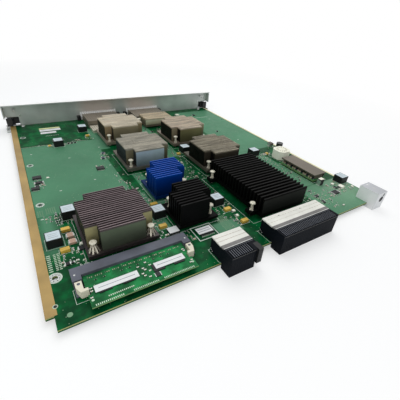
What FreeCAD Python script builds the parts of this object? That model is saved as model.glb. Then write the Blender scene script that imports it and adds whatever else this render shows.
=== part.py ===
import FreeCAD, Part
import os
import re
import Sketcher
from FreeCAD import Placement, Rotation, Vector

# An eight port switch line card, modelled in millimetres as it lies on a flat surface: +Z up,
# +Y out of the front panel, +X to the right seen from the rear. The origin is on the underside
# of the panel's lower flange, midway along the card, in the plane of the panel's inner face.

SIZES = (
    # Circuit board. "Left" is measured from its left edge, "near" from its rear edge.
    ("board_width", 366), ("board_depth", 402), ("board_thick", 2.4), ("under_gap", 3.2),
    ("panel_gap", 0.5), ("lead_width", 5.5), ("lead_length", 12), ("corner_cut", 24),
    ("tooling_left", 11), ("tooling_near", 45), ("tooling_radius", 1.9),
    ("strip_width", 7.5), ("right_strip_width", 3.5), ("strip_thick", 0.12), ("right_strip_near", 61),
    # Folded front panel and what fixes it to the board.
    ("panel_overhang", 5.5), ("panel_height", 40), ("panel_thick", 1.5), ("bend_radius", 1.2),
    ("top_flange", 10), ("lower_flange", 14), ("end_flange", 9), ("bend_relief", 1.2),
    ("spacer_inset", 12), ("spacer_depth", 9), ("flange_screw_inset", 18), ("flange_head_radius", 2.6),
    ("flange_head", 1.6), ("flange_shank_radius", 1.25), ("flange_shank_end", 0.4),
    # Ejector levers, their yokes and pivot pins.
    ("pivot_inset", 8.5), ("pivot_stand", 6), ("pivot_height", 12.8), ("pivot_radius", 1.6),
    ("pivot_play", 0.05), ("pin_proud", 0.4), ("lever_height", 12), ("lever_length", 62), ("lever_thick", 4.5),
    ("barrel_radius", 4.2), ("claw_reach", 12), ("claw_thick", 3.6), ("hook_length", 6),
    ("hook_thick", 3), ("grip_length", 14), ("grip_flare", 3.5), ("yoke_wall", 1.5),
    ("yoke_play", 0.3), ("yoke_base", 1.2), ("yoke_length", 26), ("slot_play", 0.8),
    ("slot_length", 20.5), ("yoke_margin", 3), ("ear_length", 12), ("ear_depth", 10.5),
    # Captive screws and their ferrules.
    ("screw_inset", 16), ("screw_height", 31), ("thread_radius", 1.5), ("neck_radius", 1.2),
    ("neck_play", 0.05), ("thread_length", 7.5), ("thread_gap", 0.4), ("knob_radius", 4.6),
    ("knob_length", 9), ("knob_gap", 0.4), ("driver_slot", 1.2), ("ferrule_radius", 3.6),
    ("thread_play", 0.4), ("ferrule_length", 4),
    # Ganged port cages, their spring collars and the connectors inside.
    ("bay_count", 4), ("bay_pitch", 14.25), ("bay_width", 13.75), ("bay_height", 8.9),
    ("cage_wall", 0.5), ("cage_floor", 0.9), ("cage_roof", 1.0), ("cage_proud", 1.0),
    ("cage_depth", 46.5), ("cages_middle", 180.75), ("cages_apart", 25.5), ("window_play", 0.5),
    ("collar_rim", 2.4), ("collar_depth", 2.2), ("tooth_count", 15), ("tooth_width", 2.2),
    ("tooth_thick", 0.35), ("tooth_length", 3.2),
    ("plug_width", 11.6), ("plug_depth", 9), ("plug_height", 6), ("plug_slot", 1.6),
    ("plug_slot_depth", 6), ("plug_gap", 0.6), ("plug_play", 0.2),
    ("lamp_width", 5), ("lamp_depth", 7), ("lamp_height", 8), ("lamp_side", 3.5), ("lens_size", 2.4),
    ("lens_pitch", 3.6), ("lens_low", 1), ("lens_proud", 0.3), ("lens_play", 0.15),
    ("can_width", 56), ("can_depth", 24), ("can_height", 4.5), ("can_wall", 0.4), ("can_gap", 3.5),
    # Heat sinks of the five large chips.
    ("asic_width", 56.5), ("asic_depth", 57.5), ("asic_fins", 20), ("asic_fin", 0.9), ("asic_lip", 2),
    ("asic_base", 3.5), ("asic_notch", 9.5), ("asic_top", 28), ("asic_chip", 45),
    ("asic_chip_height", 3.2),
    # Heat sinks of the two bridge chips.
    ("small_width", 41), ("small_depth", 39.5), ("small_fins", 10), ("small_fin", 1.6),
    ("small_base", 3), ("small_notch_width", 10), ("small_notch_depth", 14), ("small_top", 28),
    ("small_chip", 27), ("small_chip_height", 2.6), ("small_lip", 1),
    # Heat sinks of the fabric chip and of the port chip, held by ears.
    ("fabric_width", 62), ("fabric_depth", 96), ("fabric_fins", 20), ("fabric_fin", 1.6),
    ("fabric_base", 4), ("fabric_top", 24.5), ("fabric_chip", 50), ("fabric_chip_height", 3.2),
    ("phy_width", 50), ("phy_depth", 31), ("phy_fins", 12), ("phy_fin", 1), ("phy_base", 2.5),
    ("phy_top", 16), ("phy_chip", 23), ("phy_chip_height", 2.4), ("tab_length", 8.5),
    ("tab_width", 9), ("tab_inset", 6.5),
    # Push pins that hold the heat sinks.
    ("pin_inset", 3.4), ("pin_head_radius", 3), ("pin_head", 1.6), ("pin_leg", 1.6), ("pin_width", 2.8),
    ("pin_top", 16.5), ("pin_play", 0.2), ("pin_low_top", 12), ("pin_barb", 1),
    # Places of the heat sinks.
    ("processor_left", 39), ("processor_near", 50), ("left_column", 145), ("right_column", 233),
    ("small_column", 141), ("small_near", 52), ("small_row_gap", 15.5), ("fabric_near", 31),
    ("fabric_gap", 10), ("can_sink_gap", 3), ("phy_gap", 4),
    # Memory module in its right angle socket.
    ("socket_left", 21), ("socket_width", 96), ("socket_near", 32), ("socket_bar", 9),
    ("socket_height", 8), ("module_width", 82), ("module_near", 2), ("module_entry", 3),
    ("module_thick", 1.2), ("module_low", 4.3), ("arm_width", 6.6), ("arm_length", 13),
    ("arm_thick", 1.2), ("latch_post_radius", 1.1), ("latch_play", 0.05), ("latch_radius", 2.4),
    ("latch_inset", 3.3), ("latch_length", 8), ("latch_blade", 2.6), ("latch_swing", 1.4), ("latch_bite", 1.6),
    ("latch_gap", 0.3), ("hook_width", 2.4), ("bite_length", 5.5), ("post_near", 8),
    ("ram_width", 9), ("ram_depth", 7.5), ("ram_height", 1), ("ram_step", 17), ("ram_pair", 20.5),
    ("ram_near", 15),
    # Backplane connectors.
    ("wafer_pitch", 2.5), ("wafer_thick", 2.3), ("short_wafer_count", 12), ("long_wafer_count", 30),
    ("short_left", 131), ("long_left", 188), ("tail_depth", 17), ("shroud_reach", 12.5),
    ("shroud_gap", 0.4), ("connector_height", 16), ("cap_thick", 1.2), ("cap_start", 3.5),
    ("groove_width", 0.5), ("groove_depth", 0.3), ("rib_pitch", 2), ("rib_slot", 1.1),
    ("slot_deep", 1.2), ("slot_back", 9), ("slot_margin", 1.2),
    ("post_width", 5), ("post_depth", 9), ("post_low", 6), ("post_proud", 2), ("post_side", 1),
    # Guide block at the rear right corner.
    ("guide_right", 7), ("guide_width", 17), ("guide_depth", 23.5), ("guide_reach", 9),
    ("guide_height", 16.3), ("guide_radius", 3.6), ("guide_bore", 18), ("guide_axis", 8),
    ("guide_seat", 0.5),
    # Power converter, choke, capacitors and small parts.
    ("brick_right", 46), ("brick_near", 62), ("brick_width", 22.8), ("brick_length", 58.4),
    ("brick_foot", 1.2), ("brick_board", 1.6), ("core_height", 5.7), ("brick_plate", 1.5),
    ("core_width", 16), ("core_length", 15), ("core_step", 20), ("core_count", 3), ("brick_pin", 1.5),
    ("choke_right", 29), ("choke_gap", 7), ("choke_size", 22), ("choke_height", 12.5), ("choke_corner", 5),
    ("drum_radius", 5), ("drum_height", 11), ("drum_right", 9.5), ("drum_gap", 12),
    ("regulator_size", 12.5), ("regulator_height", 8.5),
    ("tantalum_length", 7.3), ("tantalum_width", 4.3), ("tantalum_height", 2.9),
    # Places of the small parts' centres.
    ("module_a_left", 17), ("module_a_near", 85), ("module_b_left", 35), ("module_b_gap", 13),
    ("module_c_gap", 16.5), ("module_c_near", 84), ("module_d_gap", 16.5), ("module_d_near", 77),
    ("module_e_left", 98), ("module_e_far", 57), ("module_f_left", 55), ("module_f_far", 104),
    ("module_g_inset", 20), ("module_h_right", 62), ("module_h_near", 162), ("module_i_right", 8),
    ("module_i_near", 49),
    ("tantalum_a_left", 28), ("tantalum_a_near", 98), ("tantalum_b_left", 23), ("tantalum_b_near", 71),
    ("tantalum_c_gap", 19.5), ("tantalum_c_near", 101), ("tantalum_d_gap", 12.5), ("tantalum_d_near", 64),
    ("tantalum_e_gap", 2), ("tantalum_f_gap", 19.5), ("tantalum_f_near", 60), ("tantalum_g_gap", 23.5),
    ("tantalum_g_near", 36),
    ("logic_a_left", 17), ("logic_a_near", 208), ("logic_a_width", 9), ("logic_a_depth", 6),
    ("logic_b_left", 13), ("logic_b_near", 183), ("logic_b_width", 8), ("logic_b_depth", 5),
    ("logic_c_left", 88), ("logic_c_near", 204), ("logic_c_width", 9), ("logic_c_depth", 7),
    ("logic_d_gap", 6.5), ("logic_d_near", 54), ("logic_d_width", 10), ("logic_d_depth", 9),
    ("logic_e_near", 40.5), ("logic_e_width", 15), ("logic_e_depth", 9), ("logic_height", 2),
)
# Sizes that follow from others.
DERIVED = (
    ("panel_width", "=board_width + 2 * panel_overhang"),
)
ALIASES = [alias for alias, value in SIZES + DERIVED]

doc = FreeCAD.newDocument("switch_line_card")
sheet = doc.addObject("Spreadsheet::Sheet", "Sizes")
for row, (alias, value) in enumerate(SIZES + DERIVED, start=1):
    sheet.set("A%d" % row, alias)
    sheet.set("B%d" % row, str(value))
    sheet.setAlias("B%d" % row, alias)
doc.recompute()

subparts = []


def formula(text):
    """The same formula with each size named as a cell of the sheet."""
    return re.sub(r"[a-z][a-z_0-9]*", cell_name, str(text))


def cell_name(match):
    word = match.group()
    return "Sizes." + word if word in ALIASES else word


def size(alias):
    return float(sheet.get(alias))


def count(alias):
    return int(round(size(alias)))


def bind(thing, **formulas):
    for name, text in formulas.items():
        thing.setExpression(name, formula(text))


def place(thing, x="0", y="0", z="0", turn=None):
    if turn is not None:
        thing.Placement = Placement(Vector(), turn)
    thing.setExpression("Placement.Base.x", formula(x))
    thing.setExpression("Placement.Base.y", formula(y))
    thing.setExpression("Placement.Base.z", formula(z))


def subpart(thing, label):
    thing.Label = label
    subparts.append(thing)
    return thing


# Formulas for places that many sub-parts share.

BOARD_TOP = "(under_gap + board_thick)"
LEFT = "(-board_width / 2)"
RIGHT = "(board_width / 2)"
REAR = "(-panel_gap - board_depth)"
CAGE_WIDTH = "((bay_count - 1) * bay_pitch + bay_width + 2 * cage_wall)"
CAGE_HEIGHT = "(cage_floor + bay_height + cage_roof)"
CAGE_OFFSET = "(" + CAGE_WIDTH + " + cages_apart) / 2"
CAGES = (
    ("left", LEFT + " + cages_middle - " + CAGE_OFFSET),
    ("right", LEFT + " + cages_middle + " + CAGE_OFFSET),
)
PIVOT_X = "(panel_width / 2 - pivot_inset)"
PIVOT_Y = "(panel_thick + pivot_stand)"
SCREW_X = "(panel_width / 2 - screw_inset)"
LEVER_LOW = "(pivot_height - lever_height / 2)"
LENS_LOW = "(" + BOARD_TOP + " + lens_low)"
SIDES = (("left", -1), ("right", 1))
ALONG_Y = Rotation(Vector(1, 0, 0), -90)


# Part primitives, placed by the corner or the axis.

def box(name, x, y, z, length, width, height):
    block = doc.addObject("Part::Box", name)
    bind(block, Length=length, Width=width, Height=height)
    place(block, x, y, z)
    return block


def centred_box(name, x, y, z, length, width, height):
    return box(name, "%s - (%s) / 2" % (x, length), "%s - (%s) / 2" % (y, width), z, length, width, height)


def cylinder(name, x, y, z, radius, height, turn=None):
    rod = doc.addObject("Part::Cylinder", name)
    bind(rod, Radius=radius, Height=height)
    place(rod, x, y, z, turn)
    return rod


def prism(name, x, y, z, sides, radius, height, turn=None):
    rod = doc.addObject("Part::Prism", name)
    rod.Polygon = sides
    bind(rod, Circumradius=radius, Height=height)
    place(rod, x, y, z, turn)
    return rod


def fuse(name, pieces):
    result = doc.addObject("Part::MultiFuse", name)
    result.Shapes = pieces
    result.Refine = True
    return result


def cut(name, base, tools):
    result = doc.addObject("Part::Cut", name)
    result.Base = base
    result.Tool = tools[0] if len(tools) == 1 else fuse(name + "Tools", tools)
    return result


def group(label, pieces):
    """Separate solids that share one node."""
    together = doc.addObject("Part::Compound", label)
    together.Links = pieces
    return subpart(together, label)


# PartDesign bodies, drawn with rectangles and circles held by distances.

def origin_plane(body, role):
    return [plane for plane in body.Origin.OriginFeatures if plane.Role == role][0]


def new_sketch(body, name, role="XY_Plane", lift=None):
    sketch = body.newObject("Sketcher::SketchObject", name)
    sketch.AttachmentSupport = [(origin_plane(body, role), "")]
    sketch.MapMode = "FlatFace"
    if lift is not None:
        sketch.setExpression("AttachmentOffset.Base.z", formula(lift))
    return sketch


def hold(sketch, name, kind, ends, text):
    sketch.renameConstraint(sketch.addConstraint(Sketcher.Constraint(kind, *ends, 1.0)), name)
    sketch.setExpression("Constraints." + name, formula(text))


def hold_point(sketch, name, index, point, x, y):
    """Distances of a point from the sketch's origin; a plain zero is held as a coincidence."""
    hold(sketch, name + "_x", "DistanceX", (-1, 1, index, point), x)
    hold(sketch, name + "_y", "DistanceY", (-1, 1, index, point), y)


def rectangle(sketch, name, left, low, width, height):
    start = sketch.GeometryCount
    corners = [Vector(1, 1, 0), Vector(2, 1, 0), Vector(2, 2, 0), Vector(1, 2, 0)]
    for side in range(4):
        sketch.addGeometry(Part.LineSegment(corners[side], corners[(side + 1) % 4]), False)
    for side in range(4):
        following = start + (side + 1) % 4
        sketch.addConstraint(Sketcher.Constraint("Coincident", start + side, 2, following, 1))
        direction = "Horizontal" if side % 2 == 0 else "Vertical"
        sketch.addConstraint(Sketcher.Constraint(direction, start + side))
    hold_point(sketch, name, start, 1, left, low)
    hold(sketch, name + "_width", "DistanceX", (start, 1, start, 2), width)
    hold(sketch, name + "_height", "DistanceY", (start + 1, 1, start + 1, 2), height)


def polygon(sketch, name, points):
    """A closed outline through points given as pairs of formulas."""
    start = sketch.GeometryCount
    total = len(points)
    for index in range(total):
        begin = Vector(index, index * index, 0)
        end = Vector((index + 1) % total, ((index + 1) % total) ** 2, 0)
        sketch.addGeometry(Part.LineSegment(begin, end), False)
    for index in range(total):
        following = start + (index + 1) % total
        sketch.addConstraint(Sketcher.Constraint("Coincident", start + index, 2, following, 1))
    for index, (x, y) in enumerate(points):
        hold_point(sketch, "%s_%d" % (name, index), start + index, 1, x, y)


def circle(sketch, name, x, y, radius):
    index = sketch.addGeometry(Part.Circle(Vector(1, 1, 0), Vector(0, 0, 1), 1), False)
    hold_point(sketch, name, index, 3, x, y)
    hold(sketch, name + "_radius", "Radius", (index,), radius)


def pad(body, name, sketch, length):
    feature = body.newObject("PartDesign::Pad", name)
    feature.Profile = sketch
    bind(feature, Length=length)
    return feature


def pocket(body, name, sketch, depth, reverse=False):
    feature = body.newObject("PartDesign::Pocket", name)
    feature.Profile = sketch
    feature.Reversed = reverse
    bind(feature, Length=depth)
    return feature


def pattern(body, name, features, axis, span, occurrences):
    repeat = body.newObject("PartDesign::LinearPattern", name)
    repeat.Originals = features
    repeat.Direction = (features[0].Profile[0], [axis])
    bind(repeat, Length=span, Occurrences=occurrences)
    body.Tip = repeat
    return repeat


def new_body(label):
    return subpart(doc.addObject("PartDesign::Body", label), label)


def circuit_board():
    body = new_body("circuit_board")
    outline = new_sketch(body, "BoardOutline")
    polygon(outline, "edge", (
        ("lead_width", "0"), ("board_width - corner_cut", "0"), ("board_width", "corner_cut"),
        ("board_width", "board_depth"), ("0", "board_depth"), ("0", "lead_length"),
        ("lead_width", "lead_length")))
    pad(body, "BoardPad", outline, "board_thick")
    holes = new_sketch(body, "ToolingHole", lift="board_thick")
    circle(holes, "tooling", "tooling_left", "tooling_near", "tooling_radius")
    pocket(body, "ToolingCut", holes, "board_thick + 1")
    place(body, LEFT, REAR, "under_gap")


def ground_strips():
    """Plating on both faces of the card edges that slide in the chassis."""
    lower_z = "under_gap - strip_thick"
    shorter = " - lower_flange"
    left_y = REAR + " + lead_length"
    left_run = "board_depth - lead_length"
    upper = box("LeftUpper", LEFT, left_y, BOARD_TOP, "strip_width", left_run, "strip_thick")
    lower = box("LeftLower", LEFT, left_y, lower_z, "strip_width", left_run + shorter, "strip_thick")
    group("left_ground_strip", [upper, lower])
    right_x = RIGHT + " - right_strip_width"
    right_y = REAR + " + right_strip_near"
    run = "board_depth - right_strip_near"
    upper = box("RightUpper", right_x, right_y, BOARD_TOP, "right_strip_width", run, "strip_thick")
    lower = box("RightLower", right_x, right_y, lower_z, "right_strip_width", run + shorter, "strip_thick")
    group("right_ground_strip", [upper, lower])


def lamp_centres():
    """One lamp housing on each side of each cage."""
    offset = "(%s / 2 + lamp_side + lamp_width / 2)" % CAGE_WIDTH
    return [centre + sign + offset for name, centre in CAGES for sign in (" - ", " + ")]


def panel_openings():
    tools = []
    for name, centre in CAGES:
        tools.append(centred_box("Window_" + name, centre, "0", BOARD_TOP + " - window_play",
                                 CAGE_WIDTH + " + 2 * window_play", "4 * panel_thick",
                                 CAGE_HEIGHT + " + 2 * window_play"))
    for index, centre in enumerate(lamp_centres()):
        tools.append(centred_box("LampSlot_%d" % index, centre, "0", LENS_LOW + " - lens_play",
                                 "lens_size + 2 * lens_play", "4 * panel_thick",
                                 "lens_pitch + lens_size + 2 * lens_play"))
    for name, sign in SIDES:
        x = "%d * %s" % (sign, SCREW_X)
        tools.append(cylinder("ScrewHole_" + name, x, "-panel_thick", "screw_height",
                              "thread_radius + thread_play", "4 * panel_thick", ALONG_Y))
        x = "-panel_width / 2 - 1" if sign < 0 else "panel_width / 2 - slot_length"
        tools.append(box("LeverSlot_" + name, x, "-end_flange - 1", LEVER_LOW + " - slot_play",
                         "slot_length + 1", "end_flange + 2 * panel_thick + 1",
                         "lever_height + 2 * slot_play"))
    return tools


def front_panel():
    """One folded sheet with windows for the cages, lamps, levers and screws."""
    half = "-panel_width / 2"
    flange_root = " + panel_thick / 2"
    end_low = "panel_thick + bend_relief"
    end_tall = "panel_height - 2 * panel_thick - 2 * bend_relief"
    pieces = [
        box("PanelFace", half, "0", "0", "panel_width", "panel_thick", "panel_height"),
        box("PanelTop", half, "-top_flange", "panel_height - panel_thick", "panel_width",
            "top_flange" + flange_root, "panel_thick"),
        box("PanelLower", half, "-lower_flange", "0", "panel_width", "lower_flange" + flange_root,
            "panel_thick"),
    ]
    for name, sign in SIDES:
        x = half if sign < 0 else "panel_width / 2 - panel_thick"
        pieces.append(box("PanelEnd_" + name, x, "-end_flange", end_low, "panel_thick",
                          "end_flange" + flange_root, end_tall))
    pierced = cut("PanelPierced", fuse("PanelFold", pieces), panel_openings())
    bends = doc.addObject("Part::Fillet", "PanelBends")
    bends.Base = pierced
    doc.recompute()
    radius = size("bend_radius")
    bends.Edges = [(number, radius, radius)
                   for number, edge in enumerate(pierced.Shape.Edges, start=1) if outer_fold(edge)]
    subpart(bends, "front_panel")


def outer_fold(edge):
    """Whether this is one of the panel's two long outer folds."""
    bounds = edge.BoundBox
    if bounds.XLength < size("board_width") / 2 or bounds.YLength > 0.01 or bounds.ZLength > 0.01:
        return False
    at_fold = min(abs(bounds.ZMin), abs(bounds.ZMin - size("panel_height"))) < 0.01
    return at_fold and abs(bounds.YMin - size("panel_thick")) < 0.01


def panel_fixings():
    bar = centred_box("Spacer", "0", "-panel_gap - 1 - spacer_depth / 2", "panel_thick",
                      "board_width - 2 * spacer_inset", "spacer_depth", "under_gap - panel_thick")
    subpart(bar, "panel_spacer_bar")
    middle = "(%s + %s) / 2" % (CAGES[0][1], CAGES[1][1])
    places = (LEFT + " + flange_screw_inset", middle, RIGHT + " - flange_screw_inset")
    screws = []
    for index, x in enumerate(places):
        y = "-panel_gap - 1 - spacer_depth / 2"
        head = prism("ScrewHead_%d" % index, x, y, BOARD_TOP, 12, "flange_head_radius", "flange_head")
        shank = prism("ScrewShank_%d" % index, x, y, "flange_shank_end", 6, "flange_shank_radius",
                      BOARD_TOP + " - flange_shank_end + flange_head / 2")
        screws.append(fuse("FlangeScrew_%d" % index, [head, shank]))
    group("panel_screws", screws)


# Ejector levers. Each turns on an upright pin between the two ears of its yoke.

def lever(name, sign):
    """The left lever's handle runs to +X; the right one is the same part turned over."""
    body = new_body(name + "_ejector")
    profile = new_sketch(body, name + "Barrel", lift="-lever_height / 2")
    circle(profile, "barrel", "0", "0", "barrel_radius")
    pad(body, name + "BarrelPad", profile, "lever_height")
    arm = new_sketch(body, name + "Arm", lift="-lever_height / 2")
    turn = "-" if sign > 0 else ""
    low = "barrel_radius - lever_thick"
    mirror_x = lambda text: turn + "(" + text + ")"
    polygon(arm, "arm", (
        (mirror_x("0"), low), (mirror_x("lever_length"), low),
        (mirror_x("lever_length"), "barrel_radius + grip_flare"),
        (mirror_x("lever_length - grip_length"), "barrel_radius"), (mirror_x("0"), "barrel_radius")))
    pad(body, name + "ArmPad", arm, "lever_height")
    claw = new_sketch(body, name + "Claw", lift="-lever_height / 2")
    half = "claw_thick / 2"
    polygon(claw, "claw", (
        (mirror_x(half), "0"), (mirror_x("-" + half), "0"),
        (mirror_x("-" + half), "hook_thick - claw_reach"),
        (mirror_x("-hook_length"), "hook_thick - claw_reach"), (mirror_x("-hook_length"), "-claw_reach"),
        (mirror_x(half), "-claw_reach")))
    pad(body, name + "ClawPad", claw, "lever_height")
    bore = new_sketch(body, name + "Bore", lift="lever_height / 2")
    circle(bore, "bore", "0", "0", "pivot_radius + pivot_play")
    pocket(body, name + "BoreCut", bore, "lever_height + 1")
    place(body, "%d * %s" % (sign, PIVOT_X), PIVOT_Y, "pivot_height")


def yoke(name, sign):
    """A U shaped bracket on the panel's outer face with one ear above and one below the lever."""
    low = LEVER_LOW + " - yoke_play - yoke_wall"
    tall = "lever_height + 2 * yoke_play + 2 * yoke_wall"
    end = "panel_width / 2"
    x = "-" + end if sign < 0 else end + " - yoke_length"
    plate = box(name + "YokePlate", x, "panel_thick", low + " - yoke_margin", "yoke_length", "yoke_base",
                tall + " + 2 * yoke_margin")
    ear_x = "%d * %s - ear_length / 2" % (sign, PIVOT_X)
    high = "pivot_height + lever_height / 2 + yoke_play"
    lower_ear = box(name + "LowerEar", ear_x, "panel_thick", low, "ear_length", "ear_depth", "yoke_wall")
    upper_ear = box(name + "UpperEar", ear_x, "panel_thick", high, "ear_length", "ear_depth", "yoke_wall")
    slot_x = "-" + end + " - 1" if sign < 0 else end + " - slot_length"
    slot = box(name + "YokeSlot", slot_x, "0", LEVER_LOW + " - yoke_play", "slot_length + 1",
               "panel_thick + 2 * yoke_base", "lever_height + 2 * yoke_play")
    solid = fuse(name + "YokeSolid", [plate, lower_ear, upper_ear])
    subpart(cut(name + "Yoke", solid, [slot]), name + "_ejector_yoke")
    pin_low = low + " - pin_proud"
    return cylinder(name + "PivotPin", "%d * %s" % (sign, PIVOT_X), PIVOT_Y, pin_low, "pivot_radius",
                    tall + " + 2 * pin_proud")


def ejectors():
    pins = []
    for name, sign in SIDES:
        lever(name, sign)
        pins.append(yoke(name, sign))
    group("ejector_pivot_pins", pins)


def captive_screw(name, sign):
    """A thread wider than the neck behind it, so that the ferrule keeps the screw."""
    x = "%d * %s" % (sign, SCREW_X)
    neck_end = "panel_thick + ferrule_length + knob_gap"
    thread_y = "-thread_gap - thread_length"
    thread = cylinder(name + "Thread", x, thread_y, "screw_height", "thread_radius", "thread_length", ALONG_Y)
    neck = cylinder(name + "Neck", x, "-thread_gap - 1", "screw_height", "neck_radius",
                    "thread_gap + 2 + " + neck_end, ALONG_Y)
    knob = prism(name + "Knob", x, neck_end, "screw_height", 12, "knob_radius", "knob_length", ALONG_Y)
    slot = centred_box(name + "DriverSlot", x, neck_end + " + knob_length",
                       "screw_height - driver_slot / 2", "3 * knob_radius", "2 * driver_slot", "driver_slot")
    solid = fuse(name + "ScrewSolid", [thread, neck, knob])
    subpart(cut(name + "Screw", solid, [slot]), name + "_captive_screw")
    collar = prism(name + "Ferrule", x, "panel_thick", "screw_height", 6, "ferrule_radius",
                   "ferrule_length", ALONG_Y)
    bore = cylinder(name + "FerruleBore", x, "-1", "screw_height", "neck_radius + neck_play",
                    "panel_thick + ferrule_length + 2", ALONG_Y)
    return cut(name + "FerruleRing", collar, [bore])


# Port cages: four bays side by side, open at the front, each floor open under its connector.

def port_cage(name, centre):
    body = new_body(name + "_port_cage")
    shell = new_sketch(body, name + "CageShell")
    total = "cage_depth + panel_thick + cage_proud"
    rectangle(shell, "shell", "-%s / 2" % CAGE_WIDTH, "-(cage_depth)", CAGE_WIDTH, total)
    pad(body, name + "CagePad", shell, CAGE_HEIGHT)
    bay = new_sketch(body, name + "Bay", "XZ_Plane", "-(panel_thick + cage_proud)")
    first = "cage_wall - %s / 2" % CAGE_WIDTH
    rectangle(bay, "bay", first, "cage_floor", "bay_width", "bay_height")
    bay_cut = pocket(body, name + "BayCut", bay, total + " - cage_wall", True)
    floor = new_sketch(body, name + "FloorGap", lift="cage_floor")
    inset = "(bay_width - plug_width) / 2 - plug_play"
    rectangle(floor, "gap", first + " + " + inset, "plug_gap - plug_play + cage_wall - cage_depth",
              "plug_width + 2 * plug_play", "plug_depth + 2 * plug_play")
    floor_cut = pocket(body, name + "FloorCut", floor, "cage_floor + 1")
    pattern(body, name + "Bays", [bay_cut, floor_cut], "H_Axis", "(bay_count - 1) * bay_pitch", "bay_count")
    place(body, centre, "0", BOARD_TOP)


def port_collar(name, centre):
    """A spring collar round the cage behind the panel, with fingers lying on the cage roof."""
    body = new_body(name + "_port_collar")
    frame = new_sketch(body, name + "Collar", "XZ_Plane")
    half = CAGE_WIDTH + " / 2"
    rim = half + " + collar_rim"
    top = CAGE_HEIGHT
    polygon(frame, "collar", (
        ("-(%s)" % rim, "0"), ("-%s" % half, "0"), ("-%s" % half, top), (half, top), (half, "0"),
        (rim, "0"), (rim, top + " + collar_rim"), ("-(%s)" % rim, top + " + collar_rim")))
    pad(body, name + "CollarPad", frame, "collar_depth")
    finger = new_sketch(body, name + "Finger", lift=top)
    span = "(%s - tooth_width - 2)" % CAGE_WIDTH
    rectangle(finger, "finger", "1 - %s" % half, "-collar_depth - tooth_length", "tooth_width",
              "tooth_length + collar_depth / 2")
    first = pad(body, name + "FingerPad", finger, "tooth_thick")
    pattern(body, name + "Fingers", [first], "H_Axis", span, "tooth_count")
    place(body, centre, "0", BOARD_TOP)


def ports():
    plugs = []
    for name, centre in CAGES:
        port_cage(name, centre)
        port_collar(name, centre)
        for bay in range(count("bay_count")):
            x = "%s - %s / 2 + cage_wall + bay_width / 2 + %d * bay_pitch" % (centre, CAGE_WIDTH, bay)
            y = "plug_gap + cage_wall - cage_depth"
            label = "%sPlug_%d" % (name, bay)
            block = box(label, x + " - plug_width / 2", y, BOARD_TOP, "plug_width", "plug_depth",
                        "cage_floor + plug_height")
            slot_z = BOARD_TOP + " + cage_floor + (plug_height - plug_slot) / 2"
            mouth = box(label + "Slot", x + " - plug_width / 2 + 1", y + " + plug_depth - plug_slot_depth",
                        slot_z, "plug_width - 2", "plug_slot_depth + 1", "plug_slot")
            plugs.append(cut(label + "Cut", block, [mouth]))
    group("port_connectors", plugs)


def lamps():
    housings = []
    lenses = []
    face = "-panel_gap"
    for index, centre in enumerate(lamp_centres()):
        housings.append(box("Lamp_%d" % index, centre + " - lamp_width / 2", face + " - lamp_depth",
                            BOARD_TOP, "lamp_width", "lamp_depth", "lamp_height"))
        for row in range(2):
            lenses.append(box("Lens_%d_%d" % (index, row), centre + " - lens_size / 2", face,
                              LENS_LOW + " + %d * lens_pitch" % row, "lens_size",
                              "panel_gap + panel_thick + lens_proud", "lens_size"))
    group("lamp_housings", housings)
    group("lamp_lenses", lenses)


CAN_NEAR = "(-cage_depth - can_gap - can_depth)"


def shield_can():
    body = new_body("shield_can")
    cover = new_sketch(body, "CanCover")
    rectangle(cover, "cover", "-can_width / 2", "0", "can_width", "can_depth")
    pad(body, "CanPad", cover, "can_height")
    inside = new_sketch(body, "CanInside")
    rectangle(inside, "inside", "can_wall - can_width / 2", "can_wall", "can_width - 2 * can_wall",
              "can_depth - 2 * can_wall")
    pocket(body, "CanHollow", inside, "can_height - can_wall", True)
    place(body, CAGES[0][1], CAN_NEAR, BOARD_TOP)


# Heat sinks: a base plate and a comb of fins along X, notched where the push pins stand.

def sink_base(label, prefix, lip, chip_height, centre_x, centre_y):
    body = new_body(label)
    plate = new_sketch(body, label + "Plate")
    width = prefix + "_width"
    depth = prefix + "_depth"
    rectangle(plate, "plate", "-%s / 2 - %s" % (width, lip), "-%s / 2 - %s" % (depth, lip),
              "%s + 2 * %s" % (width, lip), "%s + 2 * %s" % (depth, lip))
    pad(body, label + "PlatePad", plate, prefix + "_base")
    place(body, centre_x, centre_y, BOARD_TOP + " + " + chip_height)
    return body


def sink_fins(body, label, prefix, chip_height):
    width = prefix + "_width"
    depth = prefix + "_depth"
    fin = prefix + "_fin"
    tall = "%s_top - %s - %s_base" % (prefix, chip_height, prefix)
    blade = new_sketch(body, label + "Blade", lift=prefix + "_base")
    rectangle(blade, "blade", "-%s / 2" % width, "-%s / 2" % depth, width, fin)
    first = pad(body, label + "BladePad", blade, tall)
    pattern(body, label + "Blades", [first], "V_Axis", "%s - %s" % (depth, fin), prefix + "_fins")
    return tall


def pin_holes(body, label, prefix, places):
    side = "(pin_width + 2 * pin_play)"
    holes = new_sketch(body, label + "PinHoles", lift=prefix + "_base")
    for index, (x, y) in enumerate(places):
        rectangle(holes, "hole_%d" % index, "%s - %s / 2" % (x, side), "%s - %s / 2" % (y, side), side, side)
    pocket(body, label + "PinCuts", holes, prefix + "_base + 1")


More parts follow.
